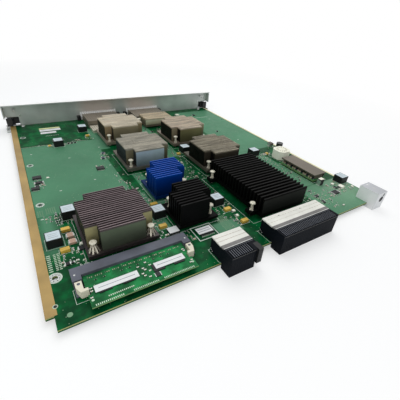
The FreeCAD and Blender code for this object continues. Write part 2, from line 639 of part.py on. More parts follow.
def notched_sink(label, prefix, lip, notches, notch_width, notch_depth, centre, pinned):
    """Corners are signs (x, y); a notch is cut at each, and a pin stands in the pinned ones."""
    chip_height = prefix + "_chip_height"
    body = sink_base(label, prefix, lip, chip_height, *centre)
    tall = sink_fins(body, label, prefix, chip_height)
    corners = new_sketch(body, label + "Corners", lift="%s_base + %s" % (prefix, tall))
    for index, (sign_x, sign_y) in enumerate(notches):
        low_x = "-%s_width / 2 - 1" % prefix if sign_x < 0 else "%s_width / 2 - %s" % (prefix, notch_width)
        low_y = "-%s_depth / 2 - 1" % prefix if sign_y < 0 else "%s_depth / 2 - %s" % (prefix, notch_depth)
        rectangle(corners, "notch_%d" % index, low_x, low_y, notch_width + " + 1", notch_depth + " + 1")
    pocket(body, label + "CornerCuts", corners, tall)
    offset_x = "(%s_width / 2 + %s - pin_inset - %s / 4)" % (prefix, lip, notch_width)
    offset_y = "(%s_depth / 2 + %s - pin_inset - %s / 4)" % (prefix, lip, notch_depth)
    places = [("%d * %s" % (x, offset_x), "%d * %s" % (y, offset_y)) for x, y in pinned]
    pin_holes(body, label, prefix, places)
    add_pins(label, centre, places, "pin_top")
    add_chip(label, prefix, centre)


def eared_sink(label, prefix, centre, ears, pin_top):
    """Ears are signs (x, y); each reaches out along X from the base plate."""
    chip_height = prefix + "_chip_height"
    body = sink_base(label, prefix, "0", chip_height, *centre)
    tabs = new_sketch(body, label + "Tabs")
    places = []
    for index, (sign_x, sign_y) in enumerate(ears):
        low_x = "-%s_width / 2 - tab_length" % prefix if sign_x < 0 else "%s_width / 2 - 1" % prefix
        middle_y = "%d * (%s_depth / 2 - tab_inset - tab_width / 2)" % (sign_y, prefix)
        rectangle(tabs, "tab_%d" % index, low_x, middle_y + " - tab_width / 2", "tab_length + 1", "tab_width")
        places.append(("%d * (%s_width / 2 + tab_length / 2)" % (sign_x, prefix), middle_y))
    pad(body, label + "TabPads", tabs, prefix + "_base")
    sink_fins(body, label, prefix, chip_height)
    pin_holes(body, label, prefix, places)
    add_pins(label, centre, places, pin_top)
    add_chip(label, prefix, centre)


pins = []
large_chips = []
small_chips = []


def add_pins(label, centre, places, top):
    """A round head on a flat leg, sprung into the board."""
    head_z = "%s + %s - pin_head" % (BOARD_TOP, top)
    leg_low = "under_gap - pin_barb"
    leg_tall = head_z + " - (" + leg_low + ") + pin_head / 2"
    for index, (x, y) in enumerate(places):
        at_x = centre[0] + " + " + x
        at_y = centre[1] + " + " + y
        name = "%sPin_%d" % (label, index)
        parts = [prism(name + "Head", at_x, at_y, head_z, 12, "pin_head_radius", "pin_head")]
        parts.append(centred_box(name + "Leg", at_x, at_y, leg_low, "pin_width", "pin_leg", leg_tall))
        pins.append(fuse(name, parts))


def add_chip(label, prefix, centre):
    chip = prefix + "_chip"
    block = centred_box(label + "Chip", centre[0], centre[1], BOARD_TOP, chip, chip, prefix + "_chip_height")
    (large_chips if prefix in ("asic", "fabric") else small_chips).append(block)


ALL_CORNERS = ((-1, -1), (1, -1), (1, 1), (-1, 1))
NEAR_LEFT_FAR_RIGHT = ((-1, -1), (1, 1))
FAR_LEFT_NEAR_RIGHT = ((-1, 1), (1, -1))
PROCESSOR = (LEFT + " + processor_left + asic_width / 2", REAR + " + processor_near + asic_depth / 2")
FABRIC = (LEFT + " + right_column", REAR + " + fabric_near + fabric_depth / 2")
SWITCH_RIGHT_Y = REAR + " + fabric_near + fabric_depth + fabric_gap + asic_depth / 2"
PHY_Y = "-cage_depth - phy_gap - phy_depth / 2"
PORT_LEFT_Y = CAN_NEAR + " - can_sink_gap - asic_depth / 2"
PORT_RIGHT_Y = "((%s + asic_depth / 2) + (%s - phy_depth / 2)) / 2" % (SWITCH_RIGHT_Y, PHY_Y)
BETWEEN_RIGHT_SINKS = "(%s + %s) / 2" % (SWITCH_RIGHT_Y, PORT_RIGHT_Y)
BRIDGE_NEAR_Y = REAR + " + small_near + small_depth / 2"
BRIDGE_FAR_Y = BRIDGE_NEAR_Y + " + small_depth + small_row_gap"
SWITCH_LEFT_Y = "((%s + small_depth / 2) + (%s - asic_depth / 2)) / 2" % (BRIDGE_FAR_Y, PORT_LEFT_Y)


def heat_sinks():
    left = LEFT + " + left_column"
    right = LEFT + " + right_column"
    small = LEFT + " + small_column"
    asics = (
        ("processor_heat_sink", PROCESSOR, ALL_CORNERS),
        ("left_port_heat_sink", (left, PORT_LEFT_Y), NEAR_LEFT_FAR_RIGHT),
        ("left_switch_heat_sink", (left, SWITCH_LEFT_Y), NEAR_LEFT_FAR_RIGHT),
        ("right_port_heat_sink", (right, PORT_RIGHT_Y), NEAR_LEFT_FAR_RIGHT),
        ("right_switch_heat_sink", (right, SWITCH_RIGHT_Y), NEAR_LEFT_FAR_RIGHT),
    )
    for label, centre, pinned in asics:
        notched_sink(label, "asic", "asic_lip", ALL_CORNERS, "asic_notch", "asic_notch", centre, pinned)
    bridges = (
        ("near_bridge_heat_sink", (small, BRIDGE_NEAR_Y)),
        ("far_bridge_heat_sink", (small, BRIDGE_FAR_Y)),
    )
    for label, centre in bridges:
        notched_sink(label, "small", "small_lip", FAR_LEFT_NEAR_RIGHT, "small_notch_width",
                     "small_notch_depth", centre, FAR_LEFT_NEAR_RIGHT)
    eared_sink("fabric_heat_sink", "fabric", FABRIC, ALL_CORNERS, "pin_top")
    phy = (CAGES[1][1], PHY_Y)
    eared_sink("phy_heat_sink", "phy", phy, FAR_LEFT_NEAR_RIGHT, "pin_low_top")
    group("push_pins", pins)
    group("large_chips", large_chips)


# Memory module in a right angle socket, clipped by two latches that swing outwards.

SOCKET_MIDDLE = "(" + LEFT + " + socket_left + socket_width / 2)"
SOCKET_Y = "(" + REAR + " + socket_near)"
LATCH_Y = "(" + SOCKET_Y + " - post_near)"


def memory_socket():
    x = LEFT + " + socket_left"
    pieces = [box("SocketBar", x, SOCKET_Y, BOARD_TOP, "socket_width", "socket_bar", "socket_height")]
    for name, sign in SIDES:
        arm_x = x if sign < 0 else x + " + socket_width - arm_width"
        pieces.append(box("SocketArm_" + name, arm_x, SOCKET_Y + " - arm_length", BOARD_TOP, "arm_width",
                          "arm_length + 1", "arm_thick"))
        pieces.append(box("SocketShoulder_" + name, arm_x, SOCKET_Y + " - post_near + latch_radius + latch_swing",
                          BOARD_TOP, "arm_width", "post_near - latch_radius", "socket_height"))
        post_x = "%s + %d * (socket_width / 2 - latch_inset)" % (SOCKET_MIDDLE, sign)
        pieces.append(cylinder("SocketPost_" + name, post_x, LATCH_Y, BOARD_TOP + " + arm_thick / 2",
                               "latch_post_radius", "socket_height - arm_thick / 2"))
    mouth = centred_box("SocketMouth", SOCKET_MIDDLE, SOCKET_Y, BOARD_TOP + " + module_low",
                        "module_width", "2 * module_entry", "module_thick")
    subpart(cut("Socket", fuse("SocketSolid", pieces), [mouth]), "memory_socket")


def socket_latch(name, sign):
    """Local +Y points out of the module's near edge; the tooth bites towards the module."""
    body = new_body(name + "_socket_latch")
    side = "" if sign < 0 else "-"
    mirror_x = lambda text: side + "(" + text + ")"
    reach = "(socket_width - module_width) / 2 - latch_inset + latch_bite"
    base = "arm_thick + latch_gap"
    blade = new_sketch(body, name + "Blade", lift=base)
    polygon(blade, "blade", (
        (mirror_x("-latch_radius"), "latch_radius"), (mirror_x("latch_radius"), "latch_radius"),
        (mirror_x("latch_radius"), "hook_width - latch_length"),
        (mirror_x(reach), "hook_width - latch_length"), (mirror_x(reach), "-latch_length"),
        (mirror_x("latch_radius - latch_blade"), "-latch_length"),
        (mirror_x("-latch_radius"), "-latch_radius")))
    pad(body, name + "BladePad", blade, "socket_height - (" + base + ")")
    bore = new_sketch(body, name + "LatchBore", lift="socket_height")
    circle(bore, "bore", "0", "0", "latch_post_radius + latch_play")
    pocket(body, name + "LatchCut", bore, "socket_height")
    x = "%s + %d * (socket_width / 2 - latch_inset)" % (SOCKET_MIDDLE, sign)
    place(body, x, LATCH_Y, BOARD_TOP)


def memory_module():
    z = BOARD_TOP + " + module_low"
    near = REAR + " + module_near"
    sheet_of_board = box("ModuleSheet", SOCKET_MIDDLE + " - module_width / 2", near, z, "module_width",
                         "socket_near - module_near + module_entry", "module_thick")
    bites = []
    for name, sign in SIDES:
        bites.append(centred_box("ModuleBite_" + name, "%s + %d * module_width / 2" % (SOCKET_MIDDLE, sign),
                                 LATCH_Y + " - latch_length + hook_width / 2 - 1", z + " - 1",
                                 "2 * latch_bite + 4 * latch_gap", "bite_length", "module_thick + 2"))
    subpart(cut("Module", sheet_of_board, bites), "memory_module")
    chips = []
    for name, sign in SIDES:
        for end in (-1, 1):
            x = "%s + %d * ram_pair + %d * ram_step / 2" % (SOCKET_MIDDLE, sign, end)
            chips.append(centred_box("Ram_%s_%d" % (name, end + 1), x, REAR + " + ram_near",
                                     z + " + module_thick", "ram_width", "ram_depth", "ram_height"))
    group("memory_chips", chips)


# Backplane connectors: a ribbed shroud beyond the board's edge, wafers on the board behind it,
# a grey organiser and a pale cap on top of the wafers.

def backplane_connector(name, left, wafers):
    x = LEFT + " + " + left
    width = "%s * wafer_pitch" % wafers
    top = BOARD_TOP + " + connector_height"
    body = new_body(name + "_backplane_shroud")
    block = new_sketch(body, name + "Shroud")
    rectangle(block, "block", "0", "-shroud_reach", width, "shroud_reach - shroud_gap")
    pad(body, name + "ShroudPad", block, top)
    slot_x = "slot_margin"
    upper = new_sketch(body, name + "TopSlot", lift=top)
    rectangle(upper, "slot", slot_x, "-shroud_reach - 1", "rib_slot", "slot_back + 1")
    upper_cut = pocket(body, name + "TopSlotCut", upper, "slot_deep")
    last = "post_width" if name == "short" else "0"
    ribs = "floor((%s - 2 * slot_margin - rib_slot - %s) / rib_pitch)" % (width, last)
    pattern(body, name + "Slots", [upper_cut], "H_Axis", ribs + " * rib_pitch", ribs + " + 1")
    if name == "short":
        corner = new_sketch(body, name + "PostSeat", lift=top)
        rectangle(corner, "seat", width + " - post_width + post_side", "-shroud_reach - 1", "post_width",
                  "post_depth - post_proud + 1")
        pocket(body, name + "PostSeatCut", corner, top + " + 1")
        subpart(box("KeyPost", x + " + " + width + " - post_width + post_side",
                    REAR + " - shroud_reach - post_proud", "post_low", "post_width", "post_depth",
                    top + " - post_low"), "keying_post")
    place(body, x, REAR, "0")
    packs = []
    for index in range(count(wafers)):
        start = x + " + %d * wafer_pitch + (wafer_pitch - wafer_thick) / 2" % index
        packs.append(box("%sWafer_%d" % (name, index), start, REAR + " - shroud_gap", BOARD_TOP,
                         "wafer_thick", "tail_depth + shroud_gap", "connector_height - cap_thick"))
    group(name + "_backplane_wafers", packs)
    cap_z = top + " - cap_thick"
    band = box(name + "Organiser", x, REAR + " - shroud_gap", cap_z, width, "cap_start + shroud_gap",
               "cap_thick")
    subpart(band, name + "_backplane_organiser")
    lid = box(name + "Lid", x, REAR + " + cap_start", cap_z, width, "tail_depth - cap_start", "cap_thick")
    grooves = []
    for index in (1, 2):
        y = REAR + " + cap_start + %d * (tail_depth - cap_start) / 3" % index
        grooves.append(box("%sGroove_%d" % (name, index), x + " - 1", y, top + " - groove_depth",
                           width + " + 2", "groove_width", "1"))
    subpart(cut(name + "Cap", lid, grooves), name + "_backplane_cap")


def guide_block():
    """It grips the board's rear edge in a slot and takes the chassis guide pin from behind."""
    body = new_body("guide_block")
    block = new_sketch(body, "GuideOutline")
    rectangle(block, "block", "-guide_width / 2", "-guide_reach", "guide_width", "guide_depth")
    pad(body, "GuidePad", block, BOARD_TOP + " + guide_height")
    grip = new_sketch(body, "GuideGrip", "YZ_Plane", "-guide_width / 2 - 1")
    rectangle(grip, "grip", "-guide_seat", "under_gap", "guide_depth", "board_thick")
    pocket(body, "GuideGripCut", grip, "guide_width + 2", True)
    bore = new_sketch(body, "GuideMouth", "XZ_Plane", "guide_reach")
    circle(bore, "mouth", "0", BOARD_TOP + " + guide_axis", "guide_radius")
    pocket(body, "GuideBore", bore, "guide_bore")
    place(body, RIGHT + " - guide_right - guide_width / 2", REAR, "0")


# Power converter and the larger small parts.

def power_converter():
    x = RIGHT + " - brick_right"
    y = REAR + " + brick_near"
    board_z = BOARD_TOP + " + brick_foot"
    plate = box("BrickBoard", x, y, board_z, "brick_width", "brick_length", "brick_board")
    subpart(plate, "converter_board")
    feet = []
    for row, y_text in enumerate((y + " + brick_pin", y + " + brick_length - 2 * brick_pin")):
        for column, x_text in enumerate((x + " + brick_pin", x + " + brick_width - 2 * brick_pin")):
            feet.append(box("BrickPin_%d_%d" % (row, column), x_text, y_text, BOARD_TOP, "brick_pin",
                            "brick_pin", "brick_foot"))
    group("converter_pins", feet)
    cores = []
    for index in range(count("core_count")):
        middle = y + " + brick_length / 2 + (%d - (core_count - 1) / 2) * core_step" % index
        cores.append(centred_box("BrickCore_%d" % index, x + " + brick_width / 2", middle,
                                 board_z + " + brick_board", "core_width", "core_length", "core_height"))
    group("converter_cores", cores)
    top = box("BrickPlate", x, y, board_z + " + brick_board + core_height", "brick_width", "brick_length",
              "brick_plate")
    subpart(top, "converter_plate")


CHOKE_Y = "(" + REAR + " + brick_near + brick_length + choke_gap + choke_size / 2)"


def choke():
    block = centred_box("ChokeBlock", RIGHT + " - choke_right", CHOKE_Y, BOARD_TOP, "choke_size",
                        "choke_size", "choke_height")
    bevel = doc.addObject("Part::Chamfer", "ChokeBevel")
    bevel.Base = block
    doc.recompute()
    corner = size("choke_corner")
    bevel.Edges = [(number, corner, corner) for number, edge in enumerate(block.Shape.Edges, start=1)
                   if edge.BoundBox.ZLength > size("choke_height") / 2]
    subpart(bevel, "power_choke")
    drum = cylinder("Drum", RIGHT + " - drum_right", CHOKE_Y + " + choke_size / 2 + drum_gap", BOARD_TOP,
                    "drum_radius", "drum_height")
    subpart(drum, "drum_capacitor")


# Centres of the small parts as pairs of formulas. Those beside a heat sink keep their gap from it.
AFTER_PROCESSOR = LEFT + " + processor_left + asic_width"
SMALL_RIGHT = LEFT + " + small_column + small_width / 2"
SMALL_LEFT = LEFT + " + small_column - small_width / 2"
REGULATORS = (
    (LEFT + " + module_a_left", REAR + " + module_a_near"),
    (LEFT + " + module_b_left", REAR + " + processor_near + asic_depth + module_b_gap"),
    (AFTER_PROCESSOR + " + module_c_gap", REAR + " + module_c_near"),
    (SMALL_RIGHT + " + module_d_gap", REAR + " + module_d_near"),
    (LEFT + " + module_e_left", "-module_e_far"),
    (LEFT + " + module_f_left", "-module_f_far"),
    (LEFT + " + right_column - module_g_inset", BETWEEN_RIGHT_SINKS),
    (RIGHT + " - module_h_right", REAR + " + module_h_near"),
    (RIGHT + " - module_i_right", REAR + " + module_i_near"),
)
TANTALUMS = (
    (LEFT + " + tantalum_a_left", REAR + " + tantalum_a_near"),
    (LEFT + " + tantalum_b_left", REAR + " + tantalum_b_near"),
    (AFTER_PROCESSOR + " + tantalum_c_gap", REAR + " + tantalum_c_near"),
    (AFTER_PROCESSOR + " + tantalum_d_gap", REAR + " + tantalum_d_near"),
    (LEFT + " + right_column + tantalum_e_gap", BETWEEN_RIGHT_SINKS),
    (SMALL_RIGHT + " + tantalum_f_gap", REAR + " + tantalum_f_near"),
    (SMALL_RIGHT + " + tantalum_g_gap", REAR + " + tantalum_g_near"),
)
LOGIC_CHIPS = (
    ("logic_a", LEFT + " + logic_a_left", REAR + " + logic_a_near"),
    ("logic_b", LEFT + " + logic_b_left", REAR + " + logic_b_near"),
    ("logic_c", LEFT + " + logic_c_left", REAR + " + logic_c_near"),
    ("logic_d", SMALL_LEFT + " - logic_d_gap", REAR + " + logic_d_near"),
    ("logic_e", LEFT + " + small_column", REAR + " + logic_e_near"),
)


def small_parts():
    modules = []
    for index, (x, y) in enumerate(REGULATORS):
        modules.append(centred_box("Regulator_%d" % index, x, y, BOARD_TOP, "regulator_size",
                                   "regulator_size", "regulator_height"))
    group("power_modules", modules)
    tantalums = []
    for index, (x, y) in enumerate(TANTALUMS):
        tantalums.append(centred_box("Tantalum_%d" % index, x, y, BOARD_TOP, "tantalum_length",
                                     "tantalum_width", "tantalum_height"))
    group("tantalum_capacitors", tantalums)
    for name, x, y in LOGIC_CHIPS:
        small_chips.append(centred_box("Chip_" + name, x, y, BOARD_TOP, name + "_width", name + "_depth",
                                       "logic_height"))
    group("small_chips", small_chips)


circuit_board()
ground_strips()
front_panel()
panel_fixings()
ejectors()
group("captive_ferrules", [captive_screw(name, sign) for name, sign in SIDES])
ports()
lamps()
shield_can()
heat_sinks()
memory_socket()
for side, sign in SIDES:
    socket_latch(side, sign)
memory_module()
backplane_connector("short", "short_left", "short_wafer_count")
backplane_connector("long", "long_left", "long_wafer_count")
guide_block()
power_converter()
choke()
small_parts()
doc.recompute()

for thing in doc.Objects:
    if "Invalid" in thing.State or "Error" in thing.State:
        raise RuntimeError("%s did not build: %s" % (thing.Label, thing.State))
    if thing.TypeId == "PartDesign::Pocket" and thing.Shape.Volume >= thing.BaseFeature.Shape.Volume:
        raise RuntimeError("%s removed nothing" % thing.Label)
for thing in subparts:
    if thing.Shape.isNull() or not thing.Shape.isValid() or not thing.Shape.Solids:
        raise RuntimeError("%s has no sound solid" % thing.Label)

os.makedirs("parts", exist_ok=True)
for thing in subparts:
    thing.Shape.exportStep("parts/%s.step" % thing.Label)
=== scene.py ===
import math
import random

import bmesh
import bpy
from mathutils import Matrix, Vector


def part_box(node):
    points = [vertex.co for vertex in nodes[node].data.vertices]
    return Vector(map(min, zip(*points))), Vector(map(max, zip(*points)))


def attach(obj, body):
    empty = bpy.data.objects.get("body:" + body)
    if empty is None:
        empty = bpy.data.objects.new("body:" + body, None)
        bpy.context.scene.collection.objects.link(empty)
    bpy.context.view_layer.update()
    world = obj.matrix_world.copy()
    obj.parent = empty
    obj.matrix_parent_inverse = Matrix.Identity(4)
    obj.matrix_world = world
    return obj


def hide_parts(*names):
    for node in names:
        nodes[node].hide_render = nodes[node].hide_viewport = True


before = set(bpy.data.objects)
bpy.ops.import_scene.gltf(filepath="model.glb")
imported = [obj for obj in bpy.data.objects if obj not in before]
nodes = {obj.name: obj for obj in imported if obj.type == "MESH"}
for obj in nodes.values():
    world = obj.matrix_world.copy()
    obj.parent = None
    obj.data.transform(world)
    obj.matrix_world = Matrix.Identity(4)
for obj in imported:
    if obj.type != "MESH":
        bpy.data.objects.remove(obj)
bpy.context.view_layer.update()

random.seed(7)
MM = 0.001
CARD = "card"


# Positions. A place on the board is given in millimetres from its rear left corner, as in the CAD.

board_low, board_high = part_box("circuit_board")
TOP = board_high.z
BOARD_WIDTH = 366
BOARD_DEPTH = 402


def on_board(x, y, z=0.0):
    return Vector((board_low.x + x * MM, board_low.y + y * MM, TOP + z * MM))


def board_mm(corner):
    return (corner.x - board_low.x) / MM, (corner.y - board_low.y) / MM


def node_mm(node):
    """A node's box at rest in board millimetres: x0, y0, z0, x1, y1, z1."""
    low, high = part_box(node)
    return (*board_mm(low), (low.z - TOP) / MM, *board_mm(high), (high.z - TOP) / MM)


# Materials. Each is a small node tree: a base colour varied by noise, with roughness and bump.

NOISE_LOW, NOISE_HIGH = 0.3, 0.7    # nearly all of a noise texture lies between these
FACING = 0.6                        # how much of a normal along an axis counts as facing that way


def linear(rgb):
    parts = [c / 255 for c in rgb]
    return tuple(v / 12.92 if v <= 0.04045 else ((v + 0.055) / 1.055) ** 2.4 for v in parts)


def toned(rgb, factor):
    return tuple(max(0, min(255, c * factor)) for c in rgb)


class Tree:
    """A node tree, with short ways to add and join nodes."""

    def __init__(self, tree):
        self.tree = tree

    def add(self, kind, **values):
        node = self.tree.nodes.new(kind)
        for name, value in values.items():
            if name in node.inputs:
                node.inputs[name].default_value = value
            else:
                setattr(node, name, value)
        return node

    def link(self, out, into):
        self.tree.links.new(out, into)

    def feed(self, value, socket):
        if isinstance(value, (int, float)):
            socket.default_value = value
        else:
            self.link(value, socket)

    def math(self, operation, a, b=None):
        node = self.add("ShaderNodeMath", operation=operation)
        self.feed(a, node.inputs[0])
        if b is not None:
            self.feed(b, node.inputs[1])
        return node.outputs["Value"]

    def fold(self, operation, values):
        total = values[0]
        for value in values[1:]:
            total = self.math(operation, total, value)
        return total

    def blend(self, fac, first, second):
        node = self.add("ShaderNodeMixShader")
        for value, socket in zip((fac, first, second), node.inputs):
            self.link(value, socket)
        return node.outputs["Shader"]


class Shader(Tree):
    """A material on a Principled BSDF. Its methods give back sockets that feed each other."""

    def __init__(self, name, rgb, metal=0.0, rough=0.5, specular=0.5):
        self.material = bpy.data.materials.new(name)
        self.material.use_nodes = True
        super().__init__(self.material.node_tree)
        self.bsdf = self.tree.nodes["Principled BSDF"]
        for socket, value in (("Base Color", (*linear(rgb), 1)), ("Metallic", metal), ("Roughness", rough),
                              ("Specular IOR Level", specular)):
            self.bsdf.inputs[socket].default_value = value
        self.material.diffuse_color = (*linear(rgb), 1)
        self.places = None

    def position(self, scale=(1, 1, 1)):
        if self.places is None:
            self.places = self.add("ShaderNodeTexCoord").outputs["Object"]
        mapping = self.add("ShaderNodeMapping", Scale=scale)
        self.link(self.places, mapping.inputs["Vector"])
        return mapping.outputs["Vector"]

    def split(self, vector):
        node = self.add("ShaderNodeSeparateXYZ")
        self.link(vector, node.inputs["Vector"])
        return node.outputs

    def place_axes(self):
        return self.split(self.position())

    def normal_axes(self):
        return self.split(self.add("ShaderNodeNewGeometry").outputs["Normal"])

    def noise(self, scale, detail=3.0, stretch=(1, 1, 1)):
        node = self.add("ShaderNodeTexNoise", Scale=scale, Detail=detail)
        self.link(self.position(stretch), node.inputs["Vector"])
        return node.outputs["Fac"]

    def ramp(self, fac, stops):
        node = self.add("ShaderNodeValToRGB")
        elements = node.color_ramp.elements
        while len(elements) < len(stops):
            elements.new(0.5)
        for element, (place, rgb) in zip(elements, stops):
            element.position = place
            element.color = (*linear(rgb), 1)
        self.link(fac, node.inputs["Fac"])
        return node.outputs["Color"]

    def tones(self, fac, rgb, middle, spread):
        """Shades of one colour, after a noise: middle is the mean factor, spread how far they go from it."""
        shades = ((NOISE_LOW, toned(rgb, middle - spread)), (NOISE_HIGH, toned(rgb, middle + spread)))
        return self.ramp(fac, shades)

    def scale_map(self, fac, low, high, to_low=0.0, to_high=1.0):
        node = self.add("ShaderNodeMapRange", **{
            "From Min": low, "From Max": high, "To Min": to_low, "To Max": to_high})
        self.link(fac, node.inputs["Value"])
        return node.outputs["Result"]

    def window(self, fac, low, high, soft):
        """One between low and high, falling to zero over the soft width."""
        rise = self.scale_map(fac, low - soft, low + soft)
        return self.math("MULTIPLY", rise, self.scale_map(fac, high - soft, high + soft, 1.0, 0.0))

    def mix(self, fac, a, b, blend="MIX"):
        node = self.add("ShaderNodeMix", data_type="RGBA", blend_type=blend)
        sockets = [s for s in node.inputs if s.enabled and s.type == "RGBA"]
        for socket, value in zip(sockets, (a, b)):
            if isinstance(value, tuple):
                socket.default_value = (*linear(value), 1)
            else:
                self.link(value, socket)
        self.feed(fac, node.inputs["Factor"])
        return [s for s in node.outputs if s.enabled and s.type == "RGBA"][0]

    def colour(self, socket):
        self.link(socket, self.bsdf.inputs["Base Color"])

    def roughness(self, fac, low, high):
        self.link(self.scale_map(fac, NOISE_LOW, NOISE_HIGH, low, high), self.bsdf.inputs["Roughness"])

    def bump(self, height, strength, distance):
        node = self.add("ShaderNodeBump", Strength=strength, Distance=distance)
        self.link(height, node.inputs["Height"])
        self.link(node.outputs["Normal"], self.bsdf.inputs["Normal"])

    def grained(self, fac, rough, rise, strength, distance):
        """Ends a material: roughness and a fine relief that follow one noise."""
        self.roughness(fac, rough - 0.08, rough + rise)
        self.bump(fac, strength, distance)
        return self.material


def plastic(name, rgb, rough=0.45, grain=1800, strength=0.12, specular=0.5, spread=0.1):
    shader = Shader(name, rgb, rough=rough, specular=specular)
    shader.colour(shader.tones(shader.noise(60, 2), rgb, 1, spread))
    return shader.grained(shader.noise(grain, 4), rough, 0.08, strength, 0.00005)


def metal(name, rgb, rough=0.35, metallic=0.9, spread=0.08):
    shader = Shader(name, rgb, metal=metallic, rough=rough)
    shader.colour(shader.tones(shader.noise(35), rgb, 1, spread))
    return shader.grained(shader.noise(900), rough, 0.1, 0.08, 0.00004)


def named(names):
    """The nodes listed. A name that starts with _ stands for all the nodes that end with it."""
    wanted = names.split()
    return [node for node in nodes if node in wanted or any(w[0] == "_" and node.endswith(w) for w in wanted)]


def paint(node, material):
    materials = nodes[node].data.materials
    materials.clear()
    materials.append(material)


# Small helpers for pieces. Sizes are in millimetres, and so are places on the board.

def finish_mesh(name, bm, materials, body=CARD, bevel=0.0):
    mesh = bpy.data.meshes.new(name)
    bm.normal_update()
    bm.to_mesh(mesh)
    bm.free()
    piece = bpy.data.objects.new(name, mesh)
    bpy.context.scene.collection.objects.link(piece)
    for material in materials:
        mesh.materials.append(material)
    if bevel:
        modifier = piece.modifiers.new("edges", "BEVEL")
        modifier.width = bevel * MM
        modifier.segments = 2
        modifier.limit_method = "ANGLE"
    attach(piece, body)
    return piece


CORNERS = [(x, y, z) for z in (0, 1) for y in (0, 1) for x in (0, 1)]
SIDES = ((0, 2, 3, 1), (4, 5, 7, 6), (0, 1, 5, 4), (2, 6, 7, 3), (0, 4, 6, 2), (1, 3, 7, 5))


def add_hexahedron(bm, verts, index=0, sides=SIDES):
    for side in sides:
        bm.faces.new([verts[corner] for corner in side]).material_index = index


def add_box(bm, low, high, index=0):
    """A box between two corners in metres."""
    ends = (low, high)
    verts = [bm.verts.new((ends[x][0], ends[y][1], ends[z][2])) for x, y, z in CORNERS]
    add_hexahedron(bm, verts, index)
    return verts


def add_slab(bm, low, size, index=0):
    """A box from its low corner in metres."""
    add_box(bm, low, low + Vector(size) * MM, index)


def add_block(bm, x, y, width, depth, z0, z1, index=0, turn=0.0):
    """A box on the board, centred at (x, y)."""
    half = Vector((width / 2, depth / 2, 0))
    verts = add_box(bm, (Vector((0, 0, z0)) - half) * MM, (Vector((0, 0, z1)) + half) * MM, index)
    spin = Matrix.Rotation(math.radians(turn), 3, "Z")
    centre = on_board(x, y)
    for vertex in verts:
        vertex.co = spin @ vertex.co + centre


def add_pair(bm, x, y, dx, dy, *block):
    """Two equal blocks, one on each side of (x, y)."""
    for sign in (-1, 1):
        add_block(bm, x + sign * dx, y + sign * dy, *block)


def skin(bm, rings, index, capped=True):
    """Quads between each ring of vertices and the next, and a face over both ends."""
    for first, second in zip(rings, rings[1:]):
        for step in range(len(first)):
            following = (step + 1) % len(first)
            face = bm.faces.new((first[step], first[following], second[following], second[step]))
            face.material_index = index
    if capped:
        for cap in (rings[0][::-1], rings[-1]):
            bm.faces.new(cap).material_index = index


def around(segments):
    """The cosine and sine of each step of a full turn."""
    angles = [2 * math.pi * step / segments for step in range(segments)]
    return [(math.cos(angle), math.sin(angle)) for angle in angles]


def add_disc(bm, x, y, outer, inner, z, thick=0.02, segments=24, index=0):
    """A flat ring or disc printed or plated on the board."""
    centre = on_board(x, y, z)
    rings = [[bm.verts.new(centre + Vector((a * radius, b * radius, lift)) * MM) for a, b in around(segments)]
             for radius, lift in ((outer, 0), (outer, thick), (inner, thick), (inner, 0))]
    skin(bm, rings + rings[:1], index, capped=False)


def add_lathe(bm, centre, profile, axis="Z", segments=24, index=0):
    """A turned solid: profile is (radius, height) pairs from bottom to top."""
    rings = []
    for radius, height in profile:
        spots = [(a * radius, b * radius, height) for a, b in around(segments)]
        if axis == "Y":
            spots = [(x, z, -y) for x, y, z in spots]
        rings.append([bm.verts.new(centre + Vector(spot) * MM) for spot in spots])
    skin(bm, rings, index)


# Solder mask. Bare green shows deep, and the copper pours under it show pale, with straight borders.

def in_region(shader, axes, x0, x1, y0, y1, soft):
    """One inside a rectangle on the board, falling to zero over the soft width."""
    across = shader.window(axes["X"], board_low.x + x0 * MM, board_low.x + x1 * MM, soft * MM)
    along = shader.window(axes["Y"], board_low.y + y0 * MM, board_low.y + y1 * MM, soft * MM)
    return shader.math("MULTIPLY", across, along)


# Rectangles as x0, x1, y0, y1 and the soft width: the copper pours, and the glare on the rear right corner.

POURS = (
    (8, 104, 128, 303, 0.4), (8, 22, 70, 130, 5), (285, 361, 176, 384, 0.5), (285, 366, -5, 58, 1.5),
    (268, 318, 58, 176, 1), (103, 118, 262, 350, 0.6), (176, 200, 200, 340, 0.8), (152, 178, 27, 46, 1.5),
    (118, 130, 96, 176, 0.8), (100, 116, 60, 130, 0.8),
)
GLARE = (330, 384, 5, 72, 50)
GLARE_TONE = (166, 196, 168)
VIA_TONE = (168, 196, 160)


